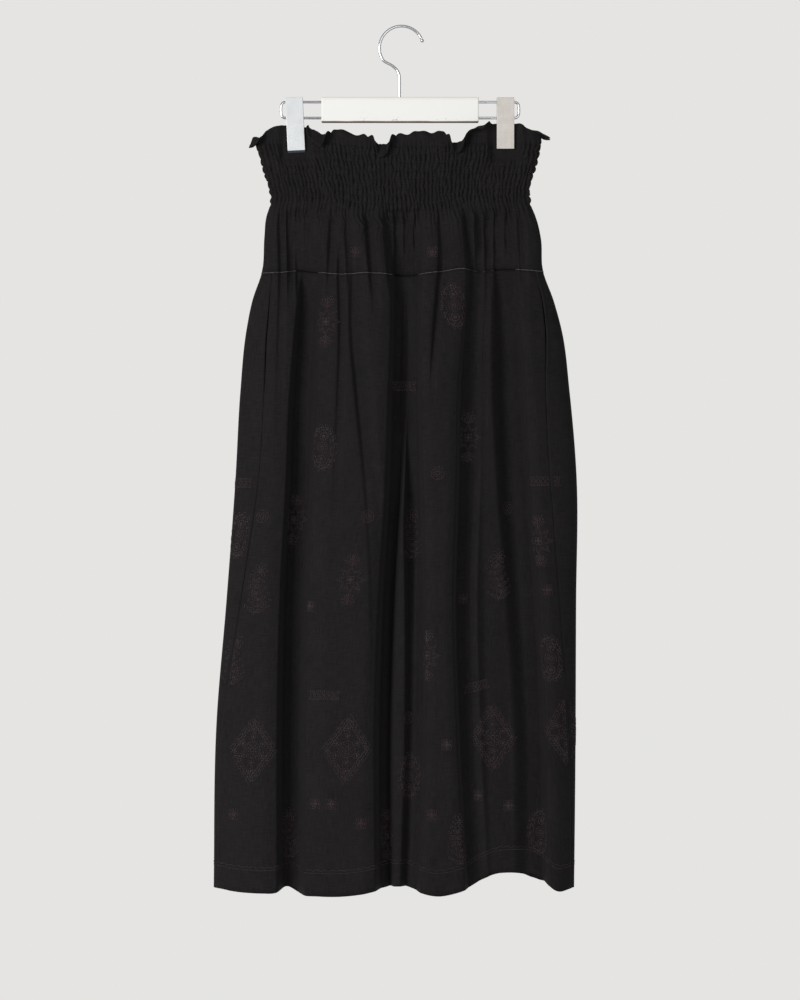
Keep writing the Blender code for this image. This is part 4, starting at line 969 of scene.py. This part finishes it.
def lower_cloth(name, side, node):
    """One side of the lower skirt as a finished piece."""
    shares = np.linspace(0, 1, SKIRT_COLUMNS)
    hem_share = 1 - HEM_DEPTH / PANEL_LENGTH
    levels = np.linspace(0, 1, SKIRT_ROWS) ** 1.12
    levels = np.sort(np.concatenate([levels, [hem_share - 0.0012, hem_share + 0.0012]]))
    rows = []
    for level in levels:
        nominal = SEAM_Z - PANEL_LENGTH * level
        left, right = (float(edge) for edge in panel_edges(side, nominal))
        places, length = measured(side, nominal, left, right)
        from_left = length[-1] * shares
        from_right = length[-1] - from_left
        row_places = np.interp(from_left, length, places)
        heights = hang(side, row_places, level)
        points = draped(side, row_places, heights)
        normal = outward(side, row_places, heights)
        rounded = -EDGE_DEPTH * (1 - ease(np.minimum(from_left, from_right) / EDGE_WIDTH))
        if side == FRONT:
            for mouth, distance in ((LEFT_MOUTH, from_left), (RIGHT_MOUTH, from_right)):
                inside = ease((mouth.top + 8 - heights) / 6) * ease((heights - mouth.bottom + 14) / 6)
                strip = 1 - ease((distance - STRIP_WIDTH + 0.8) / 0.9)
                rounded = rounded + inside * STRIP_HEIGHT * strip
        rows.append(points + normal * rounded[:, None])
    points = np.stack(rows)
    flat = np.stack(np.meshgrid(shares * SKIRT_CUT_WIDTH, levels * PANEL_LENGTH), axis=-1)
    turned_up = np.broadcast_to((levels > hem_share)[:, None], points.shape[:2]).astype(float)
    mesh = cloth_mesh(name, side, points, flat, turned_up, SKIRT_CLOTH, 2.0)
    piece = new_piece(name, mesh, black_cotton, [node])
    return piece


lower_cloth("lower_cloth_back", BACK, "skirt_back")
lower_cloth("lower_cloth_front", FRONT, "skirt_front")


# Pocket bags
# Two layers of the same cotton sewn round, hanging flat inside the skirt from the open part of
# each side seam.

BAG_COLUMNS = 44
BAG_ROWS = 56
BAG_WIDTH = 112.0
BAG_CLOTH = 2.0
BAG_SEAT = 1.2
BAG_INSET = 2.0
BAG_CORNER = 26.0
BAG_Y = 3.0
WALL = 1.2
Bag = namedtuple("Bag", "node seam sign mouth bottom")
BAGS = [
    Bag("pocket_left", "left", -1, LEFT_MOUTH, -470.0),
    Bag("pocket_right", "right", 1, RIGHT_MOUTH, -462.0),
]


def pocket_bag(bag):
    """A flat bag with a rounded lower edge, its outer edge just inside the side seam."""
    top = bag.mouth.top + 2.0
    rows = []
    for row in range(BAG_ROWS + 1):
        down = row / BAG_ROWS
        z = top + (bag.bottom - top) * down
        edge = side_seam(bag.seam, z, -bag.sign * BAG_INSET)
        start = surface(BACK, edge, z) - outward(BACK, edge, z) * (WALL + BAG_SEAT)
        width = BAG_WIDTH * (0.62 + 0.38 * math.sin(math.pi * min(down * 1.1, 1.0) * 0.8))
        share = np.arange(BAG_COLUMNS + 1) / BAG_COLUMNS
        x = start[0] - bag.sign * width * share
        drop = ease((down - 0.72) / 0.28) * BAG_CORNER * (np.abs(share - 0.5) * 2) ** 3
        flat_y = BAG_Y - BAG_CLOTH / 2
        y = start[1] + (flat_y - start[1]) * ease(share / 0.3)
        y = y + 0.25 * np.sin(share * 9.0 + down * 7.0) * ease(share / 0.2) * ease((1 - share) / 0.2)
        rows.append(np.stack([x, y, np.full(x.shape, z) + drop], axis=-1))
    points = np.stack(rows)
    side = BACK if bag.sign < 0 else FRONT
    along = np.linspace(0, BAG_WIDTH, BAG_COLUMNS + 1)
    flat = np.stack(np.meshgrid(along, np.linspace(0, top - bag.bottom, BAG_ROWS + 1)), axis=-1)
    name = bag.node + "_cloth"
    mesh = cloth_mesh(name, side, points, flat, np.ones(points.shape[:2]), 1.6, 1.6)
    piece = new_piece(name, mesh, black_cotton, [bag.node])
    return piece


for bag in BAGS:
    pocket_bag(bag)


# Edge of the yoke
# The yoke laps over the lower skirt. Its folded edge is bound with a thin rouleau of the same
# cotton, brushed pale by wear, which catches the light along the crowns of the folds. In the
# valleys between the crowns its colour is painted near black as shade.

EDGE_RADIUS = 0.45
EDGE_POINTS = 520
EDGE_SIDES = 8
WEAR_AND_SHADE_DEPTH = 9.0
WEAR_AND_SHADE_EASE = 7.0

# Cotton binding cut on the bias: rubbed grey where it stands out on the crowns of the folds, and
# painted near black in between as the shade of the valleys.
binding_wear_and_shade, tree, shader = start_material(
    "cotton binding rubbed on crowns with painted valley shade", {"Roughness": 0.9, "Specular IOR Level": 0.12}
)
place = add_node(tree, "ShaderNodeTexCoord").outputs["Object"]
rubbing = ramp(tree, noise(tree, place, 240.0, 3.0), 0.35, 0.65, 0.5)
crown_wear_and_light = add_node(tree, "ShaderNodeAttribute", {"attribute_name": "wear_and_shade"}).outputs["Fac"]
rub_and_light_share = add_node(
    tree, "ShaderNodeMath", {"operation": "MULTIPLY"}, links={0: rubbing, 1: crown_wear_and_light}
).outputs[0]
# The near black 060606 is painted shade where the binding dips into a valley.
tree.links.new(blend(tree, "060606", "5A5653", rub_and_light_share), shader.inputs["Base Color"])

for side, side_name in ((BACK, "back"), (FRONT, "front")):
    places = spread(side, SEAM_Z, -0.9999, 0.9999, np.linspace(0, 1, EDGE_POINTS))
    heights = seam_height(section_x(places, SEAM_Z))
    facing = outward(side, places, heights)
    path = surface(side, places, heights) + facing * (0.45 * EDGE_RADIUS)
    radii = np.full(len(path), EDGE_RADIUS)
    edge_mesh = swept(f"yoke_edge_{side_name}", path, facing, radii, EDGE_SIDES)
    # The mask is 1 on the crowns, where the binding is rubbed grey, and 0 deep in the valleys, where it
    # is painted near black as shade.
    sunk = inward(side, path[:, 0], path[:, 2])
    wear_and_shade = edge_mesh.attributes.new("wear_and_shade", "FLOAT", "POINT")
    unshaded_and_rubbed = 1 - ease((sunk - WEAR_AND_SHADE_DEPTH) / WEAR_AND_SHADE_EASE)
    wear_and_shade.data.foreach_set("value", np.repeat(unshaded_and_rubbed, EDGE_SIDES))
    new_piece(f"yoke_edge_{side_name}", edge_mesh, binding_wear_and_shade)


# Embroidery
# Dull wine-red cotton worked on the black cloth in short back stitches: scattered flowers, stars,
# sprigs, wreaths and medallions, and a scalloped line above the hem. Each stitch lies on the cloth.

THREAD_WIDTH = 0.85
THREAD_HEIGHT = 0.55
STITCH_LENGTH = 2.6
STITCH_PITCH = 2.35
TABLE_STEP = 5.0
TABLE_SHARES = np.linspace(0, 1, 241)
TABLE_HEIGHTS = np.arange(-284.0, -985.0, -TABLE_STEP)
HEM_LINE_UP = 28.5
HEM_LINE_DROP = 2.2
SCALLOP_LENGTH = 9.0
SCALLOP_DEPTH = 1.7
YOKE_FLOWER_Z = -260.0
EDGE_SHARE = 0.006
HIP_HALF_WIDTH = 188.6
MOTIF_REACH = 20.0
DRAWN_STEP = 1.5


def ring(x, y, radius):
    """A circle of stitches."""
    turn = np.linspace(0, 2 * math.pi, 15)
    return np.stack([x + radius * np.cos(turn), y + radius * np.sin(turn)], axis=-1)


def petal(x, y, angle, length, width):
    """The outline of a petal or leaf from its foot, pointing at an angle in degrees."""
    share = np.linspace(0, 1, 8)
    half = width / 2 * np.sin(math.pi * share**0.8)
    along = np.concatenate([share, share[::-1]]) * length
    aside = np.concatenate([half, -half[::-1]])
    turn = math.radians(angle)
    return np.stack(
        [
            x + along * math.cos(turn) - aside * math.sin(turn),
            y + along * math.sin(turn) + aside * math.cos(turn),
        ],
        axis=-1,
    )


def spread_out(x, y, count, reach, length, width, first=0.0):
    """Petals at even angles round a point, each starting some way out from it."""
    angles = first + np.arange(count) * 360.0 / count
    turns = np.radians(angles)
    return [
        petal(x + reach * math.cos(turn), y + reach * math.sin(turn), angle, length, width)
        for angle, turn in zip(angles, turns)
    ]


def flower(x=0.0, y=0.0, size=8.0):
    """Four veined petals round an eye, 16 mm across."""
    lines = spread_out(x, y, 4, 0.0, size, 0.7 * size, 45)
    veins = spread_out(x, y, 4, 0.25 * size, 0.5 * size, 0.2 * size, 45)
    return lines + veins + spread_out(x, y, 4, 0.2 * size, 0.55 * size, 0.25 * size) + [ring(x, y, 1.4)]


def rosette(x=0.0, y=0.0, size=7.4):
    """Two rings with short petals in them, 15 mm across."""
    return [ring(x, y, size), ring(x, y, 0.26 * size)] + spread_out(
        x, y, 8, 0.3 * size, 0.56 * size, 0.34 * size
    )


def ladder():
    """Two doubled lines 34 mm long with a row of crossed arches between them."""
    lines = [np.array([(-17.0, level), (17.0, level)]) for level in (-5.0, -3.6, 3.6, 5.0)]
    share = np.linspace(0, 1, 60)
    for sign in (1, -1):
        arch = sign * (2.6 - 5.2 * np.abs(np.sin(6 * math.pi * share)))
        lines.append(np.stack([-16.5 + 33 * share, arch], axis=-1))
    return lines


def star():
    """A doubled eight-pointed star round a flower, with a leafy stem above and below it."""
    turn = np.radians(np.arange(17) * 22.5)
    lines = flower(0.0, 0.0, 6.0)
    for outer, inner in ((17.0, 9.6), (13.8, 7.6)):
        reach = np.where(np.arange(17) % 2 == 0, outer, inner)
        lines.append(np.stack([reach * np.cos(turn), reach * np.sin(turn)], axis=-1))
    for way in (1, -1):
        lines.append(np.array([(0.0, way * 16.0), (0.0, way * 28.0)]))
        for level, length in ((17.0, 10.0), (21.0, 8.5), (25.0, 6.5)):
            for angle in (32, 148):
                lines.append(petal(0, way * level, way * angle, length, 3.4))
                lines.append(petal(0, way * level, way * angle, 0.6 * length, 1.2))
    return lines


def sprig():
    """A waving stem 60 mm tall with paired leaves, small buds and a flower on top."""
    share = np.linspace(0, 1, 24)
    sway = 3.6 * np.sin(2 * math.pi * share)
    lines = [np.stack([sway, -30 + 44 * share], axis=-1)]
    for pair in range(6):
        level = 0.06 + 0.16 * pair
        x = 3.6 * math.sin(2 * math.pi * level)
        y = -30 + 44 * level
        for way, angle in ((1, 26), (-1, 154)):
            length = 12.5 - 1.2 * pair
            lines.append(petal(x, y, angle, length, 5.0))
            lines.append(petal(x, y, angle, 0.75 * length, 1.6))
            lines.append(ring(x + way * (length + 1.0), y + 7.0, 1.5))
    return lines + spread_out(sway[-1], 20, 8, 1.6, 8.0, 4.2) + [ring(sway[-1], 20, 2.2)]


def wreath():
    """Three roses one above the other in an oval of leaves, 38 mm by 60 mm."""
    lines = rosette(0, 0, 6.6) + rosette(0.8, 13.0, 4.6) + rosette(-0.8, -13.0, 4.6)
    for number in range(16):
        turn = number * 2 * math.pi / 16
        heading = math.degrees(math.atan2(23.0 * math.cos(turn), -13.5 * math.sin(turn)))
        foot = (13.5 * math.cos(turn), 23.0 * math.sin(turn))
        lines.append(petal(*foot, heading + 28, 9.5, 4.4))
        lines.append(petal(*foot, heading - 30, 6.5, 3.2))
    return lines


def medallion():
    """A lozenge edged with leaves and strewn with small flowers, 52 mm by 75 mm."""
    lines = spread_out(0, 0, 8, 2.4, 6.6, 3.8) + [ring(0, 0, 9.4)]
    for x, y in ((0, 15), (0, -15), (0, 24), (0, -24), (12, 7), (-12, 7), (12, -7), (-12, -7)):
        lines += spread_out(x, y, 5, 0.6, 4.2, 2.6)
    corners = [(25.0, 0.0), (0.0, 36.0), (-25.0, 0.0), (0.0, -36.0), (25.0, 0.0)]
    for (x, y), (next_x, next_y) in zip(corners[:-1], corners[1:]):
        heading = math.degrees(math.atan2(next_y - y, next_x - x))
        lines.append(np.array([(0.86 * x, 0.86 * y), (0.86 * next_x, 0.86 * next_y)]))
        for number in range(6):
            share = 0.03 + 0.165 * number
            foot = (x + (next_x - x) * share, y + (next_y - y) * share)
            lines.append(petal(*foot, heading - 22, 8.6, 3.8))
            lines.append(petal(*foot, heading + 30, 7.0, 3.4))
    return lines


# Where each motif is worked: across and down from the hook's bearing, and its turn in degrees.
Motif = namedtuple("Motif", "work x z turn")
BACK_MOTIFS = [
    Motif(star, -84, -340, 0), Motif(wreath, 62, -322, 0), Motif(ladder, 3, -413, 0),
    Motif(wreath, -88, -484, 0), Motif(star, 78, -472, 0), Motif(rosette, 43, -513, 0),
    Motif(ladder, -184, -524, 0), Motif(ladder, 166, -522, 0), Motif(rosette, -157, -562, 0),
    Motif(wreath, -184, -584, 0), Motif(star, -121, -566, 0), Motif(rosette, -37, -562, 0),
    Motif(sprig, 12, -582, 0), Motif(rosette, 122, -553, 0), Motif(star, 158, -590, 0),
    Motif(star, -56, -634, 0), Motif(sprig, 112, -628, 0), Motif(flower, -103, -664, 0),
    Motif(flower, 72, -656, 0), Motif(flower, 168, -646, 0), Motif(sprig, -162, -644, 0),
    Motif(sprig, -190, -726, 0), Motif(star, 30, -720, 0), Motif(wreath, 172, -724, 0),
    Motif(ladder, -86, -765, 0), Motif(ladder, 86, -756, 12), Motif(rosette, 9, -792, 0),
    Motif(medallion, -168, -828, 0), Motif(medallion, -60, -826, 0),
    Motif(medallion, 106, -814, 0), Motif(medallion, 190, -808, 0), Motif(flower, 53, -821, 0),
    Motif(wreath, 10, -858, 0), Motif(flower, -96, -888, 0), Motif(flower, -78, -888, 0),
    Motif(flower, -190, -902, 0), Motif(flower, -44, -910, 0), Motif(flower, 89, -880, 0),
    Motif(flower, 124, -892, 0), Motif(flower, 36, -900, 0), Motif(star, -14, -926, 0),
    Motif(sprig, 68, -928, 0), Motif(wreath, 162, -924, 0), Motif(sprig, -128, -924, 0),
]
FRONT_MOTIFS = [Motif(m.work, -0.96 * m.x + 6, m.z - 9, -m.turn) for m in BACK_MOTIFS]
BACK_YOKE_FLOWERS = (-51.0, 37.0)
FRONT_YOKE_FLOWERS = (-44.0, 54.0)


def cut_table(side):
    """For each height of the table, the places at even shares of a lower panel, and its width."""
    rows = []
    widths = []
    for z in TABLE_HEIGHTS:
        left, right = (float(edge) for edge in panel_edges(side, z))
        places, length = measured(side, z, left, right)
        rows.append(np.interp(length[-1] * TABLE_SHARES, length, places))
        widths.append(length[-1])
    return np.stack(rows), np.array(widths)


def place_at(table, share, z):
    """The place at a share of the panel's width, read between the rows of its table."""
    row = np.clip((TABLE_HEIGHTS[0] - z) / TABLE_STEP, 0, len(TABLE_HEIGHTS) - 1.001)
    low = row.astype(int)
    column = share * (len(TABLE_SHARES) - 1)
    near = column.astype(int)
    across = column - near
    upper = table[low, near] * (1 - across) + table[low, near + 1] * across
    lower = table[low + 1, near] * (1 - across) + table[low + 1, near + 1] * across
    return upper + (lower - upper) * (row - low)


def place_of_x(x, z):
    """The place straight behind a distance across."""
    middle, half = middle_and_half(z)
    return (x - middle) / half


def drawn_out(line):
    """A line with its points no further apart than the step for drawing it."""
    run = np.concatenate([[0], np.cumsum(np.linalg.norm(np.diff(line, axis=0), axis=1))])
    at = np.linspace(0, run[-1], max(2, int(run[-1] / DRAWN_STEP) + 1))
    return np.stack([np.interp(at, run, line[:, 0]), np.interp(at, run, line[:, 1])], axis=-1)


def worked_lines(side):
    """The lines of stitches on one side: their points on the cloth, which way the cloth faces at
    each, and how many points each line has. A motif that reaches a side seam goes on beyond it on
    the other panel, and a line stops at a panel's edge."""
    table, widths = cut_table(side)
    found = []
    own = BACK_MOTIFS if side == BACK else FRONT_MOTIFS
    other = FRONT_MOTIFS if side == BACK else BACK_MOTIFS
    for motif in own + other:
        row = int(round((TABLE_HEIGHTS[0] - motif.z) / TABLE_STEP))
        place = float(place_of_x(motif.x, motif.z))
        if motif in other:
            place = (2 if place > 0 else -2) - place
        low, high = table[row][0], table[row][-1]
        centre = np.interp(place, table[row], TABLE_SHARES)
        if not low < place < high:
            edge = np.clip(place, low, high)
            reach = abs(place - edge) * HIP_HALF_WIDTH
            centre += np.sign(place - edge) * reach / widths[row]
            if reach > MOTIF_REACH:
                continue
        turn = math.radians(motif.turn)
        for line in motif.work():
            line = drawn_out(line)
            x = line[:, 0] * math.cos(turn) - line[:, 1] * math.sin(turn)
            z = motif.z + line[:, 0] * math.sin(turn) + line[:, 1] * math.cos(turn)
            share = centre - side * x / widths[row]
            kept = np.flatnonzero((share > EDGE_SHARE) & (share < 1 - EDGE_SHARE))
            for run in np.split(kept, np.flatnonzero(np.diff(kept) > 1) + 1):
                if len(run) > 2:
                    found.append((place_at(table, share[run], z[run]), z[run]))
    shares = np.linspace(EDGE_SHARE, 1 - EDGE_SHARE, 420)
    along = shares * widths[-1]
    scallop = SCALLOP_DEPTH * np.abs(np.sin(math.pi * along / SCALLOP_LENGTH))
    for raised in (scallop, np.full(shares.shape, -HEM_LINE_DROP)):
        z = np.full(shares.shape, -960.0)
        for _ in range(3):
            places = place_at(table, shares, z)
            z = hem_height(side, places, z) + HEM_LINE_UP + raised
        found.append((places, z))
    for x in BACK_YOKE_FLOWERS if side == BACK else FRONT_YOKE_FLOWERS:
        for line in flower():
            line = drawn_out(line)
            z = YOKE_FLOWER_Z + line[:, 1]
            found.append((place_of_x(x + line[:, 0], z), z))
    places = np.concatenate([places for places, _ in found])
    z = np.concatenate([z for _, z in found])
    return draped(side, places, z), outward(side, places, z), [len(line) for line, _ in found]


def stitch_tree():
    """Geometry Nodes: a small lens-shaped stitch at even steps along each line, lying along it."""
    tree = bpy.data.node_groups.new("back stitches", "GeometryNodeTree")
    sockets = (
        ("Lines", "NodeSocketGeometry"), ("Pitch", "NodeSocketFloat"), ("Size", "NodeSocketVector"),
        ("Seed", "NodeSocketInt"), ("Material", "NodeSocketMaterial"),
    )
    for name, kind in sockets:
        tree.interface.new_socket(name, in_out="INPUT", socket_type=kind)
    tree.interface.new_socket("Stitches", in_out="OUTPUT", socket_type="NodeSocketGeometry")
    given = add_node(tree, "NodeGroupInput")
    lines = add_node(tree, "GeometryNodeMeshToCurve", links={"Mesh": given.outputs["Lines"]})
    points = add_node(
        tree, "GeometryNodeCurveToPoints", {"mode": "LENGTH"},
        links={"Curve": lines.outputs[0], "Length": given.outputs["Pitch"]},
    )
    facing = add_node(
        tree, "GeometryNodeInputNamedAttribute", {"data_type": "FLOAT_VECTOR"}, {"Name": "facing"}
    )
    lying = add_node(
        tree, "FunctionNodeAxesToRotation", {"primary_axis": "Z", "secondary_axis": "X"},
        links={0: facing.outputs[0], 1: points.outputs["Tangent"]},
    )
    uneven = add_node(
        tree, "FunctionNodeRandomValue", {"data_type": "FLOAT"}, {"Min": 0.82, "Max": 1.12},
        {"Seed": given.outputs["Seed"]},
    )
    size = add_node(
        tree, "ShaderNodeVectorMath", {"operation": "SCALE"},
        links={0: given.outputs["Size"], "Scale": uneven.outputs[1]},
    )
    one = add_node(tree, "GeometryNodeMeshUVSphere", values={"Segments": 4, "Rings": 2, "Radius": 0.5})
    placed = add_node(
        tree, "GeometryNodeInstanceOnPoints",
        links={
            "Points": points.outputs["Points"], "Instance": one.outputs["Mesh"],
            "Rotation": lying.outputs[0], "Scale": size.outputs[0],
        },
    )
    real = add_node(tree, "GeometryNodeRealizeInstances", links={0: placed.outputs[0]})
    soft = add_node(tree, "GeometryNodeSetShadeSmooth", links={0: real.outputs[0]})
    dressed = add_node(
        tree, "GeometryNodeSetMaterial",
        links={"Geometry": soft.outputs[0], "Material": given.outputs["Material"]},
    )
    add_node(tree, "NodeGroupOutput", links={0: dressed.outputs[0]})
    return tree


def stitched(name, points, facing, counts, tree, values):
    """The stitches along lines of so many points each, as one plain mesh."""
    starts = np.cumsum([0] + counts)
    edges = [(i, i + 1) for low, high in zip(starts[:-1], starts[1:]) for i in range(low, high - 1)]
    lifted = points + facing * values["Size"][2] / MM * 0.5
    mesh = bpy.data.meshes.new(name + "_lines")
    mesh.from_pydata((lifted * MM).tolist(), edges, [])
    attribute = mesh.attributes.new("facing", "FLOAT_VECTOR", "POINT")
    attribute.data.foreach_set("vector", facing.ravel())
    guide = placed(name + "_lines", mesh)
    modifier = guide.modifiers.new("stitches", "NODES")
    modifier.node_group = tree
    for socket in tree.interface.items_tree:
        if socket.in_out == "INPUT" and socket.name in values:
            modifier[socket.identifier] = values[socket.name]
    return baked(guide, name)


# Six-strand cotton thread, softly shiny: dull wine red, faded unevenly towards grey.
thread, tree, shader = start_material(
    "dull wine-red cotton thread",
    {"Roughness": 0.6, "Specular IOR Level": 0.3, "Sheen Weight": 0.12, "Sheen Roughness": 0.4},
)
place = add_node(tree, "ShaderNodeTexCoord").outputs["Object"]
fading = ramp(tree, noise(tree, place, 36.0, 3.0), 0.38, 0.64)
tree.links.new(blend(tree, "31191F", "372A2F", fading), shader.inputs["Base Color"])
# The strands of the thread are 0.15 mm wide. They are drawn at 0.5 mm.
roughen(tree, shader, noise(tree, place, 2000.0, 1.0), 0.4, 0.1)

back_stitches = stitch_tree()
for side, side_name in ((BACK, "back"), (FRONT, "front")):
    stitches = stitched(
        f"embroidery_{side_name}", *worked_lines(side), back_stitches,
        {
            "Pitch": STITCH_PITCH * MM,
            "Size": (STITCH_LENGTH * MM, THREAD_WIDTH * MM, THREAD_HEIGHT * MM),
            "Seed": 5, "Material": thread,
        },
    )
    new_piece(f"embroidery_{side_name}", stitches, thread)


# Studio
# A pale floor well below the hem, even light all round and a broad soft light from the upper left.

FLOOR_Z = -1.45
FLOOR_RADIUS = 1.35
BACKDROP = "E5E4E2"

floor_mesh = bpy.data.meshes.new("studio_floor")
floor_work = bmesh.new()
bmesh.ops.create_circle(floor_work, cap_ends=True, segments=96, radius=FLOOR_RADIUS)
bmesh.ops.translate(floor_work, verts=floor_work.verts, vec=(0.0, 0.0, FLOOR_Z))
floor_work.to_mesh(floor_mesh)
floor_work.free()
floor = placed("studio_floor", floor_mesh)
# Matt painted board.
floor_paint, tree, shader = start_material(
    "matt pale floor paint", {"Base Color": linear(BACKDROP), "Roughness": 0.9}
)
floor_mesh.materials.append(floor_paint)

world = bpy.data.worlds.new("studio_air")
world.use_nodes = True
bpy.context.scene.world = world
tree = world.node_tree
tree.nodes.clear()
backdrop = {"Color": linear(BACKDROP), "Strength": 1.0}
soft_light = {"Color": linear("F2F4F6"), "Strength": 0.36}
seen = add_node(tree, "ShaderNodeBackground", values=backdrop)
lighting = add_node(tree, "ShaderNodeBackground", values=soft_light)
ray = add_node(tree, "ShaderNodeLightPath")
air = add_node(
    tree, "ShaderNodeMixShader",
    links={0: ray.outputs["Is Camera Ray"], 1: lighting.outputs[0], 2: seen.outputs[0]},
)
add_node(tree, "ShaderNodeOutputWorld", links={"Surface": air.outputs[0]})

Lamp = namedtuple("Lamp", "name at towards width height power")
LAMPS = [
    Lamp("key_light", (-2.2, -2.4, -0.2), (0.0, 0.0, -0.5), 1.2, 1.8, 72.0),
    Lamp("fill_light", (1.0, -3.6, -0.3), (0.0, 0.0, -0.5), 2.2, 2.2, 27.0),
]
for lamp in LAMPS:
    data = bpy.data.lights.new(lamp.name, "AREA")
    data.shape = "RECTANGLE"
    data.size = lamp.width
    data.size_y = lamp.height
    data.energy = lamp.power
    item = placed(lamp.name, data)
    item.location = lamp.at
    direction = np.array(lamp.towards) - np.array(lamp.at)
    flat_length = math.hypot(direction[0], direction[1])
    item.rotation_euler = (
        math.pi / 2 + math.atan2(direction[2], flat_length), 0.0,
        math.atan2(direction[1], direction[0]) - math.pi / 2,
    )

CAMERA_DISTANCE = 3.4
CAMERA_HEIGHT = -0.5434
VIEW_HEIGHT = 1.15
SENSOR_WIDTH = 36.0
camera_data = bpy.data.cameras.new("front_camera")
camera_data.sensor_width = SENSOR_WIDTH
camera_data.lens = SENSOR_WIDTH * CAMERA_DISTANCE / VIEW_HEIGHT
camera = placed("front_camera", camera_data)
camera.location = (0.0, -CAMERA_DISTANCE, CAMERA_HEIGHT)
camera.rotation_euler = (math.pi / 2, 0.0, 0.0)
bpy.context.scene.camera = camera
bpy.context.scene.view_settings.view_transform = "Standard"
